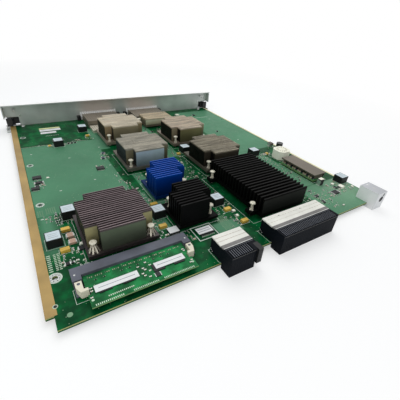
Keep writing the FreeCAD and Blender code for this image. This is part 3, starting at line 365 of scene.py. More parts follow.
def board_material(name, pale, deep, pours, edge):
    shader = Shader(name, pale, rough=0.42, specular=0.08)
    axes = shader.place_axes()
    ground = shader.ramp(shader.noise(90), ((0.38, toned(deep, 0.8)), (0.5, deep), (0.62, toned(deep, 1.3))))
    if pours:
        # Painted highlight: towards the rear right corner the pours blend into a pale glare tone.
        glare = shader.math("MULTIPLY", in_region(shader, axes, *GLARE), 0.8)
        pour_with_glare = shader.mix(glare, shader.tones(shader.noise(14, 2), pale, 1, 0.06), GLARE_TONE)
        pour = shader.fold("MAXIMUM", [in_region(shader, axes, *region) for region in pours])
        ground = shader.mix(pour, ground, pour_with_glare)
    traces = shader.add("ShaderNodeTexBrick", Scale=210.0, Color1=(1, 1, 1, 1), Color2=(0.93, 0.95, 0.93, 1),
                        Mortar=(0.82, 0.86, 0.82, 1), **{"Mortar Size": 0.012})
    shader.link(shader.position((1.0, 0.35, 1.0)), traces.inputs["Vector"])
    traced = shader.mix(0.6, ground, traces.outputs["Color"], "MULTIPLY")
    dots = shader.add("ShaderNodeTexVoronoi", Scale=330.0)
    shader.link(shader.position(), dots.inputs["Vector"])
    via = shader.math("LESS_THAN", dots.outputs["Distance"], 0.12)
    few = shader.math("GREATER_THAN", shader.noise(45, 1), 0.52)
    top = shader.mix(shader.fold("MULTIPLY", (via, few, 0.6)), traced, VIA_TONE)
    upward = shader.normal_axes()["Z"]
    top = shader.mix(shader.math("LESS_THAN", upward, -0.5), top, toned(pale, 0.62))
    upright = shader.math("LESS_THAN", shader.math("ABSOLUTE", upward), 0.5)
    layer = shader.scale_map(axes["Z"], TOP - 1.3 * MM, TOP - 0.9 * MM)
    shader.colour(shader.mix(upright, top, shader.mix(layer, toned(deep, 1.1), edge)))
    shader.roughness(shader.noise(120, 4), 0.34, 0.5)
    shader.bump(traces.outputs["Fac"], 0.1, 0.00003)
    return shader.material


def front_planes(node):
    """Where a heat sink's outer plates face the rear: at its front row and behind its corner notches."""
    tall = [v.co for v in nodes[node].data.vertices if v.co.z > TOP + 10 * MM]
    left = min(co.x for co in tall)
    right = max(co.x for co in tall)
    rows = ([co.y for co in tall], [co.y for co in tall if co.x < left + 2 * MM],
            [co.y for co in tall if co.x > right - 2 * MM])
    return sorted({round(min(row), 5) for row in rows})


def sink_material(node, top, side, crown_z=28, metallic=0.35, rough=0.4, specular=0.5, ends=0.4, notch=None,
                  streak=0.2):
    """Fins painted with light and shade: highlights on their top edges, light on the outer plates, and shade
    in the gaps and on the ends.
    """
    shader = Shader(node + "_finish", side, metal=metallic, rough=rough, specular=specular)
    place = shader.place_axes()
    normal = shader.normal_axes()
    crown = TOP + crown_z * MM
    height = shader.scale_map(place["Z"], TOP + 3 * MM, crown)
    cloud = shader.scale_map(shader.noise(40), NOISE_LOW, NOISE_HIGH, -0.12, 0.12)
    rising = shader.math("ADD", height, cloud)
    # Painted shade: all but the outer plates darken towards the base, scaled by ends, for the shade in the
    # gaps and on the fin ends.
    body = shader.ramp(rising, ((0.0, toned(side, ends * 0.6)), (1.0, toned(side, ends * 1.3))))
    rearward = shader.math("LESS_THAN", normal["Y"], -FACING)
    # Painted light on the outer plates, brighter towards the top; the plates behind the corner notches take
    # the notch tone, a painted sheen.
    for index, plane in enumerate(front_planes(node)):
        tone = notch if index and notch else side
        flank = shader.ramp(rising, ((0.0, toned(tone, 0.65)), (0.45, tone), (0.95, toned(tone, 1.35))))
        away = shader.math("ABSOLUTE", shader.math("SUBTRACT", place["Y"], plane))
        outer = shader.math("MULTIPLY", shader.math("LESS_THAN", away, 0.2 * MM), rearward)
        body = shader.mix(outer, body, flank)
    # Painted light on the base plate: a dimmed copy of the lit top tone.
    base_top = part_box(node)[0].z + 3.6 * MM
    body = shader.mix(shader.math("LESS_THAN", place["Z"], base_top), body, toned(top, 0.6))
    brushed = shader.noise(320, 2, (0.12, 2.6, 1))
    # Painted highlight: the top of each fin takes the lit top tone, and its upward faces a brighter one.
    near_top = shader.scale_map(place["Z"], crown - 2.6 * MM, crown - 1.2 * MM)
    lit = shader.mix(near_top, body, shader.tones(brushed, top, 0.98, streak))
    top_highlight = shader.math("MULTIPLY", shader.math("GREATER_THAN", normal["Z"], FACING), near_top)
    shader.colour(shader.mix(top_highlight, lit, shader.tones(brushed, top, 1.17, streak)))
    return shader.grained(shader.noise(700, 3, (0.12, 1, 1)), rough, 0.12, 0.12, 0.00005)


def faced_metal(name, rgb, up_rgb, rough, metallic, stretch=(1, 1, 1), glow=None):
    """Metal painted with light and shade: its upward faces have a tone of their own for how light falls on
    them. glow is a painted glow: a tone, and the nodes over which it lies.
    """
    shader = Shader(name, rgb, metal=metallic, rough=rough)
    normal = shader.normal_axes()
    cloud = shader.noise(35)
    sides = shader.tones(cloud, rgb, 1, 0.06)
    # Painted light: a glow tone on the rearward faces across the width of the given nodes.
    if glow:
        glow_tone, lit_by = glow
        across = shader.place_axes()["X"]
        windows = [shader.window(across, low.x, high.x, 10 * MM) for low, high in map(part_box, lit_by)]
        rearward = shader.math("LESS_THAN", normal["Y"], -FACING)
        amount = shader.fold("MULTIPLY", (shader.fold("MAXIMUM", windows), rearward, 0.6))
        sides = shader.mix(amount, sides, glow_tone)
    # Painted light and shade: the upward faces take their own tone.
    upward = shader.math("GREATER_THAN", normal["Z"], FACING)
    shader.colour(shader.mix(upward, sides, shader.tones(cloud, up_rgb, 1, 0.04)))
    return shader.grained(shader.noise(900, 3, stretch), rough, 0.1, 0.08, 0.00004)



ZINC = metal("bright_zinc", (205, 206, 205), 0.25, 0.9)
GOLD = metal("plated_gold", (170, 142, 86), 0.46, 0.35, spread=0.1)
TIN = metal("solder_tin", (188, 190, 188), 0.3, 0.85)
PAD = metal("tinned_pad", (176, 196, 172), 0.4, 0.2)
FAINT_PAD = metal("masked_pad", (112, 152, 116), 0.45, 0.1)
WIRE = metal("spring_wire", (214, 208, 190), 0.3, 0.5)
CAGE_SEAM = metal("cage_seam", (96, 90, 80), 0.45, 0.6)
SLEEVE_TOP = metal("drum_top_sheet", (70, 72, 74), 0.4, 0.5)
# The guide block's top is painted darker than its sides: painted shade on the top and painted light on the
# sides.
GUIDE = faced_metal("guide_metal", (246, 248, 250), (190, 192, 196), 0.5, 0.15)
CHIP = plastic("chip_resin", (30, 32, 34), 0.55, specular=0.3)
BAND = plastic("organiser_resin", (112, 110, 108), 0.5)
PIN = plastic("pin_resin", (226, 221, 202), 0.4, spread=0.05)
WHITE = plastic("label_paper", (236, 238, 238), 0.55, 2600, 0.05, spread=0.02)
LID = plastic("lid_paper", (206, 220, 226), 0.55, 2600, 0.05, spread=0.04)
SILK = plastic("silkscreen", (206, 218, 206), 0.6, 2600, 0.05, spread=0.04)
CREAM = plastic("choke_resin", (255, 252, 232), 0.5, spread=0.03)
TAN = plastic("tantalum_resin", (216, 178, 74), 0.45, spread=0.08)
PINK = plastic("ceramic_pink", (196, 160, 140), 0.5)
FERRITE = plastic("ferrite", (92, 84, 72), 0.6)
CERAMIC = plastic("ceramic", (188, 172, 148), 0.5)
CERAMIC_PALE = plastic("ceramic_pale", (206, 204, 186), 0.5)
RESISTOR = plastic("resistor", (36, 38, 40), 0.5)
MATTE_BLUE = plastic("dusk_resin", (34, 44, 62), 0.5)
# Holes, slots, recesses and grooves drawn as flat marks in this colour are painted shade; the wafer seams on
# the connectors use it too, as dark joints.
DARK = plastic("dark_hole", (14, 15, 17), 0.7)
PALE = plastic("pale_line", (222, 222, 218), 0.45)
RIB = plastic("rib_edge", (74, 78, 88), 0.45)
RUST = plastic("seam_rust", (150, 120, 108), 0.6)

PAINTS = {
    board_material("solder_mask", (82, 136, 104), (0, 76, 38), POURS, (176, 174, 118)): "circuit_board",
    board_material("module_mask", (52, 116, 78), (30, 112, 62), (), (120, 150, 100)):
        "memory_module converter_board",
    # The panel's upward faces are painted near white over grey sides: painted light on the tops. The glow is
    # painted light on its rear faces across the port cages.
    faced_metal("panel_sheet", (188, 194, 190), (252, 252, 250), 0.36, 0.5, (0.1, 1, 1),
                ((206, 190, 180), named("_port_cage"))): "front_panel",
    GOLD: "left_ground_strip",
    metal("pale_gold", (232, 228, 188), 0.46, 0.2, spread=0.06): "right_ground_strip",
    metal("steel", (160, 162, 164), 0.35, 0.85): "panel_spacer_bar _ejector_yoke captive_ferrules",
    ZINC: "panel_screws ejector_pivot_pins _captive_screw converter_pins",
    metal("cage_sheet", (150, 142, 128), 0.36, 0.75): "_port_cage",
    # The collar fingers are painted a plain near white, not metal: a painted highlight for their bright
    # glint.
    metal("finger_sheet", (255, 254, 250), 0.4, 0.0, spread=0.02): "_port_collar",
    metal("can_sheet", (214, 208, 190), 0.36, 0.6): "shield_can",
    metal("converter_sheet", (104, 96, 84), 0.4, 0.5): "converter_plate",
    GUIDE: "guide_block",
    plastic("lever_plastic", (30, 31, 33), 0.5): "_ejector",
    plastic("black_plastic", (18, 20, 21), 0.5, specular=0.3):
        "port_connectors lamp_housings keying_post power_modules",
    plastic("lamp_resin", (226, 232, 220), 0.25): "lamp_lenses",
    plastic("socket_resin", (92, 95, 106), 0.5, specular=0.3): "memory_socket",
    plastic("ivory_resin", (232, 226, 204), 0.4, spread=0.04): "_socket_latch",
    plastic("shroud_resin", (12, 16, 22), 0.6, specular=0.08): "_backplane_shroud _backplane_wafers",
    BAND: "_backplane_organiser",
    plastic("cap_resin", (240, 239, 230), 0.5, specular=0.3, spread=0.03): "_backplane_cap",
    plastic("drum_sleeve", (26, 26, 28), 0.3): "drum_capacitor",
    PIN: "push_pins",
    CHIP: "_chips",
    FERRITE: "converter_cores",
    CREAM: "power_choke",
    TAN: "tantalum_capacitors",
}
for material, names in PAINTS.items():
    for name in named(names):
        paint(name, material)

# Heat sinks: the base's height, the tones of the fins' tops and sides, each painted as light falls on it, and
# the rest of the finish, with the painted shade (ends) and the painted sheen on the notch plates (notch).

BLACKENED = {"metallic": 0.0, "rough": 0.5, "specular": 0.06}
SINKS = {
    "processor_heat_sink": (3.5, (95, 83, 85), (84, 92, 76), {
        "metallic": 0.5, "ends": 0.6, "notch": (150, 144, 106)}),
    "left_port_heat_sink": (3.5, (222, 207, 182), (120, 110, 88), {
        "ends": 0.45, "notch": (132, 114, 88), "streak": 0.14}),
    "right_port_heat_sink": (3.5, (204, 184, 164), (100, 96, 66), {"ends": 0.2, "notch": (124, 114, 92)}),
    "left_switch_heat_sink": (3.5, (172, 167, 153), (160, 174, 184), {
        "metallic": 0.5, "ends": 0.33, "notch": (112, 106, 86)}),
    "right_switch_heat_sink": (3.5, (140, 133, 116), (48, 44, 36), {"ends": 0.3, "streak": 0.3}),
    "fabric_heat_sink": (4, (12, 12, 11), (34, 35, 33), {**BLACKENED, "crown_z": 24.5, "ends": 0.2}),
    "far_bridge_heat_sink": (3, (0, 62, 146), (0, 38, 98), {
        "metallic": 0.0, "specular": 0.12, "ends": 1.2, "streak": 0.1}),
    "near_bridge_heat_sink": (3, (12, 12, 12), (9, 9, 10), {**BLACKENED, "ends": 0.6}),
    "phy_heat_sink": (2.5, (196, 178, 152), (210, 200, 170), {"crown_z": 16, "ends": 0.6}),
}
for name, (base, top, side, finish_and_shading) in SINKS.items():
    paint(name, sink_material(name, top, side, **finish_and_shading))


# Labels and white lids on the power modules.

def islands(node):
    """The separate solids of a node as (low, high) boxes."""
    mesh = nodes[node].data
    bm = bmesh.new()
    bm.from_mesh(mesh)
    bmesh.ops.remove_doubles(bm, verts=bm.verts, dist=1e-6)
    left = set(bm.verts)
    found = []
    while left:
        stack = [left.pop()]
        group = [stack[0]]
        while stack:
            for edge in stack.pop().link_edges:
                for vertex in edge.verts:
                    if vertex in left:
                        left.remove(vertex)
                        stack.append(vertex)
                        group.append(vertex)
        low = Vector([min(v.co[i] for v in group) for i in range(3)])
        high = Vector([max(v.co[i] for v in group) for i in range(3)])
        found.append((low, high))
    bm.free()
    return sorted(found, key=lambda pair: (round(pair[0].x, 5), round(pair[0].y, 5)))


PAPER = 0.12
INK = 0.02


def module_lids():
    """A paper lid with three printed rows on each power module."""
    bm = bmesh.new()
    marks = bmesh.new()
    inset = Vector((0.7, 0.7, 0)) * MM
    for low, high in islands("power_modules"):
        add_box(bm, Vector((low.x, low.y, high.z)) + inset, high + Vector((0, 0, PAPER)) * MM - inset)
        for row in range(3):
            corner = Vector((low.x, low.y, high.z)) + Vector((2.4, 3.4 + 2.3 * row, PAPER)) * MM
            add_slab(marks, corner, ((high.x - low.x) / MM - 4.8 - row % 2, 0.7, INK))
    finish_mesh("power_module_lids", bm, [LID], bevel=0.1)
    finish_mesh("power_module_marks", marks, [plastic("lid_print", (168, 176, 180), 0.6)])


SOLIDS_OF = {name: islands(name) for name in (
    "power_modules", "tantalum_capacitors", "small_chips", "push_pins", "memory_chips", "panel_screws")}
TAKEN = [(*board_mm(low), *board_mm(high)) for pairs in SOLIDS_OF.values() for low, high in pairs
         if high.z > TOP]
for name in (*SINKS, *named("memory_socket _socket_latch memory_module _port_cage _port_collar shield_can "
                            "_backplane_wafers guide_block converter_plate power_choke drum_capacitor "
                            "_ground_strip")):
    x0, y0, z0, x1, y1, z1 = node_mm(name)
    TAKEN.append((x0, y0, x1, y1))


def is_clear(x, y, reach):
    """True where nothing stands within reach of a place on the board."""
    if not (reach < x < BOARD_WIDTH - reach and reach < y < BOARD_DEPTH - reach):
        return False
    return not any(x0 - reach < x < x1 + reach and y0 - reach < y < y1 + reach for x0, y0, x1, y1 in TAKEN)


# Small passive parts: ceramic and resistor bodies with tinned ends on their pads.

CERAMIC_SIZES = ((1.7, 0.9, 0.6), (2.1, 1.3, 0.8), (1.2, 0.7, 0.45), (3.2, 1.6, 1.1))
GRID = 0.5     # the parts stand on this raster
TRIES = 3      # places tried for each part that a cluster should hold


def add_passive(bm, x, y, turn, size, index):
    """One part along X, or along Y if turn is 1."""
    length, width, height = size

    def turned(along, across):
        return (across, along) if turn else (along, across)

    body_width = width * 0.6 if turn else width
    end = length * 0.24
    reach = length * 0.4
    add_block(bm, x, y, *turned(length * 0.6, body_width), 0.03, height * 0.95, index)
    add_pair(bm, x, y, *turned(reach, 0), *turned(end, width), 0.03, height, 3)
    add_pair(bm, x, y, *turned(reach + 0.15, 0), *turned(end + 0.5, width + 0.2), 0, 0.04, 4)


CLUSTERS = (
    # centre, width, depth, how many
    (22, 121, 16, 12, 34), (30, 110, 14, 6, 8), (24, 62, 12, 16, 22), (35, 66, 8, 14, 10), (31, 52, 8, 8, 6),
    (60, 299, 26, 6, 16), (43, 298, 8, 4, 5), (57, 318, 20, 8, 7), (103, 239, 10, 24, 14),
    (100, 315, 10, 20, 10), (18, 195, 10, 26, 12), (103, 155, 12, 60, 26), (112, 125, 14, 30, 16),
    (106, 85, 14, 40, 26), (103, 53, 10, 10, 14), (124, 45, 6, 22, 8), (125, 99, 14, 12, 12),
    (141, 99, 40, 11, 22), (141, 165, 44, 22, 30), (168, 120, 10, 60, 22), (178, 75, 22, 40, 20),
    (176, 40, 14, 20, 10), (185, 150, 24, 30, 26), (189, 200, 22, 60, 26), (189, 250, 20, 50, 20),
    (185, 300, 24, 50, 20), (150, 252, 50, 24, 26), (233, 212, 50, 20, 26), (233, 305, 40, 22, 18),
    (230, 131, 70, 6, 20), (281, 45, 10, 26, 14), (281, 85, 14, 80, 46), (290, 120, 22, 60, 34),
    (315, 154, 34, 12, 22), (312, 132, 12, 30, 18), (310, 100, 10, 60, 22), (297, 42, 8, 14, 8),
    (297, 28, 10, 10, 8), (318, 34, 26, 20, 18), (338, 38, 22, 26, 26), (356, 34, 10, 14, 8),
    (275, 165, 16, 60, 14), (122, 345, 6, 40, 8), (182, 345, 12, 40, 10), (80, 307, 12, 5, 5),
    (90, 208, 16, 8, 5), (272, 20, 12, 20, 10), (303, 17, 14, 16, 8), (350, 175, 18, 8, 6),
    (70, 44, 60, 4, 14),
)


def passives():
    bm = bmesh.new()
    for centre_x, centre_y, width, depth, total in CLUSTERS:
        placed = []
        for _ in range(total * TRIES):
            x = centre_x + round((random.random() - 0.5) * width / GRID) * GRID
            y = centre_y + round((random.random() - 0.5) * depth / GRID) * GRID
            size = CERAMIC_SIZES[random.choice((0, 0, 0, 1, 1, 2, 2, 3))]
            turn = random.choice((0, 1))
            index = random.choice((0, 0, 1, 2, 2))
            crowded = any(abs(x - a) < 2.6 and abs(y - b) < 2.4 for a, b in placed)
            if len(placed) < total and not crowded and is_clear(x, y, size[0] / 2 + 0.7):
                placed.append((x, y))
                add_passive(bm, x, y, turn, size, index)
        TAKEN.extend((x - 1.2, y - 1.2, x + 1.2, y + 1.2) for x, y in placed)
    finish_mesh("small_passives", bm, [CERAMIC, CERAMIC_PALE, RESISTOR, TIN, PAD])


# Larger parts that the main solids leave out: x, y, width, depth, height, material index.

LARGER = (
    (30.1, 88.5, 6.4, 5.6, 2.2, 0), (30.5, 79.5, 6.4, 5.6, 2.2, 0), (36.5, 74.3, 3, 2.6, 1.4, 1),
    (35.6, 68.6, 6, 5, 1.2, 2), (22, 55, 4, 3.4, 1.2, 2), (186, 55.5, 4, 3, 1.6, 1),
    (184.5, 47.2, 3.4, 3, 1.4, 1), (324.6, 154.6, 5.5, 3.6, 2.2, 3), (103.2, 247, 5, 4.4, 1.6, 4),
    (99, 232, 5, 4.4, 1.6, 4), (343.3, 36.8, 7.5, 6.2, 3.2, 1), (340.4, 47, 5, 3, 1.4, 1),
    (335.8, 39.6, 4.4, 5, 1.6, 2), (325.2, 31.6, 12, 6.5, 1.5, 2), (295.5, 36, 6, 4, 1.4, 2),
    (293, 24, 4, 5, 1.4, 2), (360.5, 32, 3.4, 3, 1.2, 1), (324.5, 54.6, 7, 5.6, 8, 2),
    (357, 181, 8, 7, 4, 5), (357.5, 150, 5, 5, 3.4, 2), (68, 299, 3.4, 2.2, 1.2, 2),
    (72.5, 299, 3.4, 2.2, 1.2, 2), (77, 299, 3.4, 2.2, 1.2, 2), (99.6, 319.5, 7, 3.4, 2, 3),
    (43, 298.6, 5, 3, 1.6, 3), (104, 92.5, 5.6, 4.4, 1.8, 3), (28, 205, 3, 2, 0.8, 1),
    (200, 302, 4, 4, 1.2, 2), (308, 265, 4, 3, 1.2, 2), (17.8, 195.6, 9.5, 4.6, 1.6, 2),
    (15.5, 188.8, 5, 3.4, 1.2, 2), (212, 332, 4, 3, 1.6, 2), (284, 371.5, 9, 5, 1.6, 1),
    (315, 359.5, 7, 5, 1.4, 2), (199.2, 205.2, 7, 3.6, 2.2, 3), (275, 258.3, 3.6, 2.6, 1.4, 1),
)


def larger_parts():
    bm = bmesh.new()
    for x, y, width, depth, height, index in LARGER:
        add_block(bm, x, y, width * 0.76, depth, 0.05, height, index)
        add_pair(bm, x, y, width * 0.42, 0, width * 0.16, depth * 0.9, 0.02, height * 0.85, 6)
        add_pair(bm, x, y, width * 0.5, 0, 1.2, depth * 0.95, 0.0, 0.05, 7)
    add_block(bm, 324.5, 54.6, 6.2, 4.8, 8, 8.3, 1)
    materials = [PINK, CREAM, CHIP, TAN, MATTE_BLUE, FERRITE, TIN, PAD]
    finish_mesh("larger_parts", bm, materials, bevel=0.12)


LEG_PITCH = 1.0
LEGLESS = 20    # chips wider than this have no legs here


def chip_legs():
    """Gull wing legs along two sides of the small chips, and their pads."""
    bm = bmesh.new()
    for low, high in SOLIDS_OF["small_chips"]:
        (x0, y0), (x1, y1) = board_mm(low), board_mm(high)
        if x1 - x0 > LEGLESS:
            continue
        y = (y0 + y1) / 2
        half = (y1 - y0) / 2
        count = int((x1 - x0 - 1) / LEG_PITCH)
        for step in range(count):
            x = (x0 + x1) / 2 + (step - (count - 1) / 2) * LEG_PITCH
            add_pair(bm, x, y, 0, half + 0.25, 0.4, 0.5, 0.9, 1.05)
            add_pair(bm, x, y, 0, half + 0.5, 0.4, 0.16, 0.1, 1.05)
            add_pair(bm, x, y, 0, half + 0.85, 0.4, 0.8, 0.04, 0.2)
            add_pair(bm, x, y, 0, half + 0.95, 0.6, 1.3, 0, 0.05, 1)
    finish_mesh("chip_legs", bm, [TIN, PAD])


# Printed and plated marks on the board.

RINGS = ((13.4, 344, 3.7), (13.4, 245, 3.7), (13.4, 150, 4.0), (11, 45, 5.2))


def outline(bm, x0, y0, x1, y1, wide=0.34):
    x, y = (x0 + x1) / 2, (y0 + y1) / 2
    add_pair(bm, x, y, 0, (y1 - y0) / 2, x1 - x0 + wide, wide, 0, 0.04)
    add_pair(bm, x, y, (x1 - x0) / 2, 0, wide, y1 - y0 - wide, 0, 0.04)


def ticks(bm, x, y, across, along, columns, rows, width, depth, index):
    for column in range(columns):
        for row in range(rows):
            add_block(bm, x + column * across, y + row * along, width, depth, 0, 0.05, index)


def board_marks():
    bm = bmesh.new()
    for x, y, radius in RINGS:
        add_disc(bm, x, y, radius, radius * 0.78, 0, 0.04, 32, 0)
        add_disc(bm, x, y, radius * 0.74, 2.1, 0, 0.06, 32, 1)
        if radius < 5:
            add_disc(bm, x, y, 1.5, 0.05, 0, 0.05, 20, 3)
        for step in range(8):
            angle = math.radians(45 * step + 22)
            spot = x + radius * 0.6 * math.cos(angle), y + radius * 0.6 * math.sin(angle)
            add_disc(bm, *spot, 0.4, 0.05, 0.06, 0.03, 8, 3)
    ticks(bm, 9.7, 52.5, 1, 2.3, 1, 9, 2.8, 1.1, 2)
    ticks(bm, 14.2, 52.5, 2.6, 2.0, 2, 10, 1.9, 1.0, 2)
    for x, y, across, along, columns, rows in (
            (9.8, 129.5, 1.9, 1.5, 3, 7), (17.2, 131.5, 1.9, 1.5, 5, 7), (161, 34, 1.7, 1.6, 7, 10),
            (290, 20, 1.8, 1.8, 6, 12), (346, 18, 1.8, 1.8, 5, 5), (163, 46, 1.7, 1.6, 6, 6)):
        ticks(bm, x, y, across, along, columns, rows, 1.1, 0.75, 4)
    for low, high in SOLIDS_OF["power_modules"] + SOLIDS_OF["tantalum_capacitors"]:
        (x0, y0), (x1, y1) = board_mm(low), board_mm(high)
        outline(bm, x0 - 1, y0 - 1, x1 + 1, y1 + 1)
    for node, gap in (
            ("processor_heat_sink", 1.6), ("fabric_heat_sink", 1.8), ("near_bridge_heat_sink", 1.2),
            ("far_bridge_heat_sink", 1.2), ("left_switch_heat_sink", 1.5), ("right_switch_heat_sink", 1.5),
            ("right_port_heat_sink", 1.5), ("short_backplane_wafers", 1.2), ("long_backplane_wafers", 1.2),
            ("converter_plate", 1.4), ("power_choke", 1.4)):
        x0, y0, z0, x1, y1, z1 = node_mm(node)
        outline(bm, x0 - gap, max(y0 - gap, 0.6), x1 + gap, y1 + gap)
    outline(bm, 129.8, 31, 151, 50.3, wide=0.9)
    outline(bm, 20, 14, 31.5, 27)
    for x, y in ((17.8, 278.8), (12.2, 124), (92, 207), (101.6, 209.7), (85.8, 307), (30, 305), (120, 215),
                 (104, 271), (290, 300), (320, 220), (334, 330), (300, 210), (36, 170), (60, 250), (75, 180)):
        add_block(bm, x, y, 2.4, 1.1, 0, 0.04, 0)
    add_disc(bm, 14.5, 8.2, 1.9, 0.05, 0, 0.05, 24, 4)
    add_disc(bm, 7.2, 19, 1.8, 1.2, 0.0, 0.16, 24, 2)
    add_disc(bm, 7.2, 19, 1.2, 0.05, 0.0, 0.15, 24, 3)
    add_block(bm, 24, 304.3, 34, 0.7, 0, 0.03, 2)
    add_block(bm, 84, 304.3, 26, 0.5, 0, 0.03, 2)
    ticks(bm, 44, 340.5, 2.4, 2.4, 8, 1, 1.2, 1.1, 0)
    ticks(bm, 31, 49.5, 2.6, 2.6, 4, 1, 1.4, 0.8, 0)
    ticks(bm, 289, 178, 3.6, 8, 1, 3, 1.6, 0.6, 0)
    add_block(bm, 324, 344, 28, 1.0, 0, 0.04, 0)
    add_block(bm, 306.1, 307.8, 5, 1.8, 0, 0.04, 2)
    add_disc(bm, 356.1, 319, 1.3, 0.05, 0, 0.05, 20, 3)
    finish_mesh("board_marks", bm, [SILK, TIN, PAD, DARK, FAINT_PAD])


def labels():
    """Blank adhesive labels with grey bars where such labels carry their rows."""
    paper = bmesh.new()
    bars = bmesh.new()
    chip_top = node_mm("memory_chips")[5]
    for x0, y0, x1, y1, z, rows in (
            (38, 362, 68, 370, 0.0, 1), (38, 351, 60, 358, 0.0, 1), (109, 50.3, 119, 58.7, 2.0, 0),
            (132.2, 37, 148, 45.6, 2.0, 2), (33, 12.4, 65, 18.9, chip_top, 1),
            (78.6, 13.2, 104, 19.6, chip_top, 1)):
        x, width, depth = (x0 + x1) / 2, x1 - x0, y1 - y0
        add_block(paper, x, (y0 + y1) / 2, width, depth, z, z + PAPER)
        for row in range(rows):
            y = y0 + (row + 1) * depth / (rows + 1)
            add_block(bars, x, y, width * 0.84, depth * 0.1, z + PAPER, z + PAPER + INK)
    add_block(paper, 53, 374.3, 30, 5, 0, PAPER, 1)
    tinted = plastic("label_tint", (226, 228, 170), 0.55)
    finish_mesh("labels", paper, [WHITE, tinted], bevel=0.9)
    finish_mesh("label_bars", bars, [plastic("bar_print", (158, 160, 166), 0.6)])


# Push pins: a dished head, a sprung collar over two prongs, and barbs under the board.

COIL_STEPS = 14


def add_spring(bm, centre, radius, wire, low, high, turns, index):
    total = turns * COIL_STEPS
    rings = []
    for step in range(total + 1):
        angle = 2 * math.pi * step / COIL_STEPS
        outward = Vector((math.cos(angle), math.sin(angle), 0))
        lift = low + (high - low) * step / total
        spots = [outward * (radius + wire * a) + Vector((0, 0, lift + wire * b)) for a, b in around(6)]
        rings.append([bm.verts.new(centre + spot * MM) for spot in spots])
    skin(bm, rings, index)


def base_under(x, y):
    """Height of the heat sink's base or tab that a pin holds down."""
    for node, (base, *_) in SINKS.items():
        x0, y0, z0, x1, y1, z1 = node_mm(node)
        if x0 <= x <= x1 and y0 <= y <= y1:
            return z0 + base
    return 6.7


def push_pins():
    bm = bmesh.new()
    for low, high in SOLIDS_OF["push_pins"]:
        x, y = board_mm((low + high) / 2)
        top = (high.z - TOP) / MM
        foot = (low.z - TOP) / MM
        base = base_under(x, y)
        centre = on_board(x, y)
        add_lathe(bm, centre, ((1.2, top - 1.7), (2.7, top - 1.6), (3.0, top - 1.2), (3.0, top - 0.7),
                               (2.6, top - 0.2), (1.5, top), (1.2, top - 0.25), (0.2, top - 0.25)))
        add_pair(bm, x, y, 0.68, 0, 0.62, 1.3, foot + 0.7, top - 1.6)
        add_pair(bm, x, y, 0.85, 0, 0.6, 1.2, foot, foot + 0.9)
        add_pair(bm, x, y, 1.5, 0, 1.6, 1.1, base, base + 0.9)
        add_pair(bm, x, y, 0, 1.5, 1.1, 1.6, base, base + 0.9)
        add_spring(bm, centre, 1.45, 0.2, base + 0.9, top - 2.0, 3, 1)
    piece = finish_mesh("push_pins_detail", bm, [PIN, WIRE])
    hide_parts("push_pins")


def processor_pin_skirts():
    """The splayed clear skirts round the processor's near pins."""
    bm = bmesh.new()
    x0, y0, z0, x1, y1, z1 = node_mm("processor_heat_sink")
    base = z0 + SINKS["processor_heat_sink"][0]
    for low, high in SOLIDS_OF["push_pins"]:
        x, y = board_mm((low + high) / 2)
        if not (x0 <= x <= x1 and y0 <= y <= (y0 + y1) / 2):
            continue
        for step in range(8):
            angle = math.radians(45 * step + 20)
            outward = Vector((math.cos(angle), math.sin(angle), 0))
            across = Vector((-outward.y, outward.x, 0))
            upper = on_board(x, y, base + 6.2) + outward * 1.6 * MM
            lower = on_board(x, y, base + 0.05) + outward * 4.3 * MM
            add_hexahedron(bm, [bm.verts.new(point + (across * side * wide + outward * deep) * MM)
                                for point, wide in ((upper, 0.35), (lower, 0.7))
                                for side in (-1, 1) for deep in (0, 0.35)])
    finish_mesh("processor_pin_skirts", bm, [WIRE])


# Panel side: captive screws, panel screws, yoke rivets, cage seams and the can's holes. The holes and the
# screws' cross recesses are flat dark marks: painted shade.

KNOB_LENGTH = 9
THREAD_PITCH = 0.5
RIVET = ((1.0, 0.0), (1.5, 0.05), (1.3, 0.5), (0.4, 0.75))


def captive_screws():
    """A threaded end, a neck and a knurled knob with a cross recess."""
    for hand in ("left", "right"):
        node = hand + "_captive_screw"
        x0, y0, z0, x1, y1, z1 = node_mm(node)
        centre = on_board((x0 + x1) / 2, 0, (z0 + z1) / 2)
        radius = (x1 - x0) / 2
        knob = y1 - KNOB_LENGTH
        profile = [(1.2, y0), (1.5, y0 + 0.6)]
        y = y0 + 1.0
        while y < y0 + 7.2:
            profile += [(1.5, y), (1.2, y + THREAD_PITCH / 2), (1.5, y + THREAD_PITCH)]
            y += THREAD_PITCH
        profile += [(1.15, y0 + 7.6), (1.15, knob), (radius - 0.9, knob), (radius - 0.35, knob + 0.5),
                    (radius - 0.35, y1 - 0.6), (radius - 1.1, y1), (2.2, y1), (2.1, y1 - 0.35),
                    (0.2, y1 - 0.35)]
        bm = bmesh.new()
        add_lathe(bm, centre, profile, "Y", 32)
        for a, b in around(36):
            away, across = Vector((a, 0, b)), Vector((-b, 0, a))
            spots = [away * reach + across * wide * sign + Vector((0, y, 0)) for y in (knob + 0.9, y1 - 1.0)
                     for reach, wide in ((radius - 0.4, 0.3), (radius - 0.02, 0.1)) for sign in (1, -1)]
            add_hexahedron(bm, [bm.verts.new(centre + spot * MM) for spot in spots])
        for wide, tall in ((3.0, 0.7), (0.7, 3.0)):
            add_slab(bm, centre + Vector((-wide / 2, y1 - 0.36, -tall / 2)) * MM, (wide, 0.06, tall), 1)
        piece = finish_mesh(node + "_detail", bm, [ZINC, DARK], node)
        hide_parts(node)


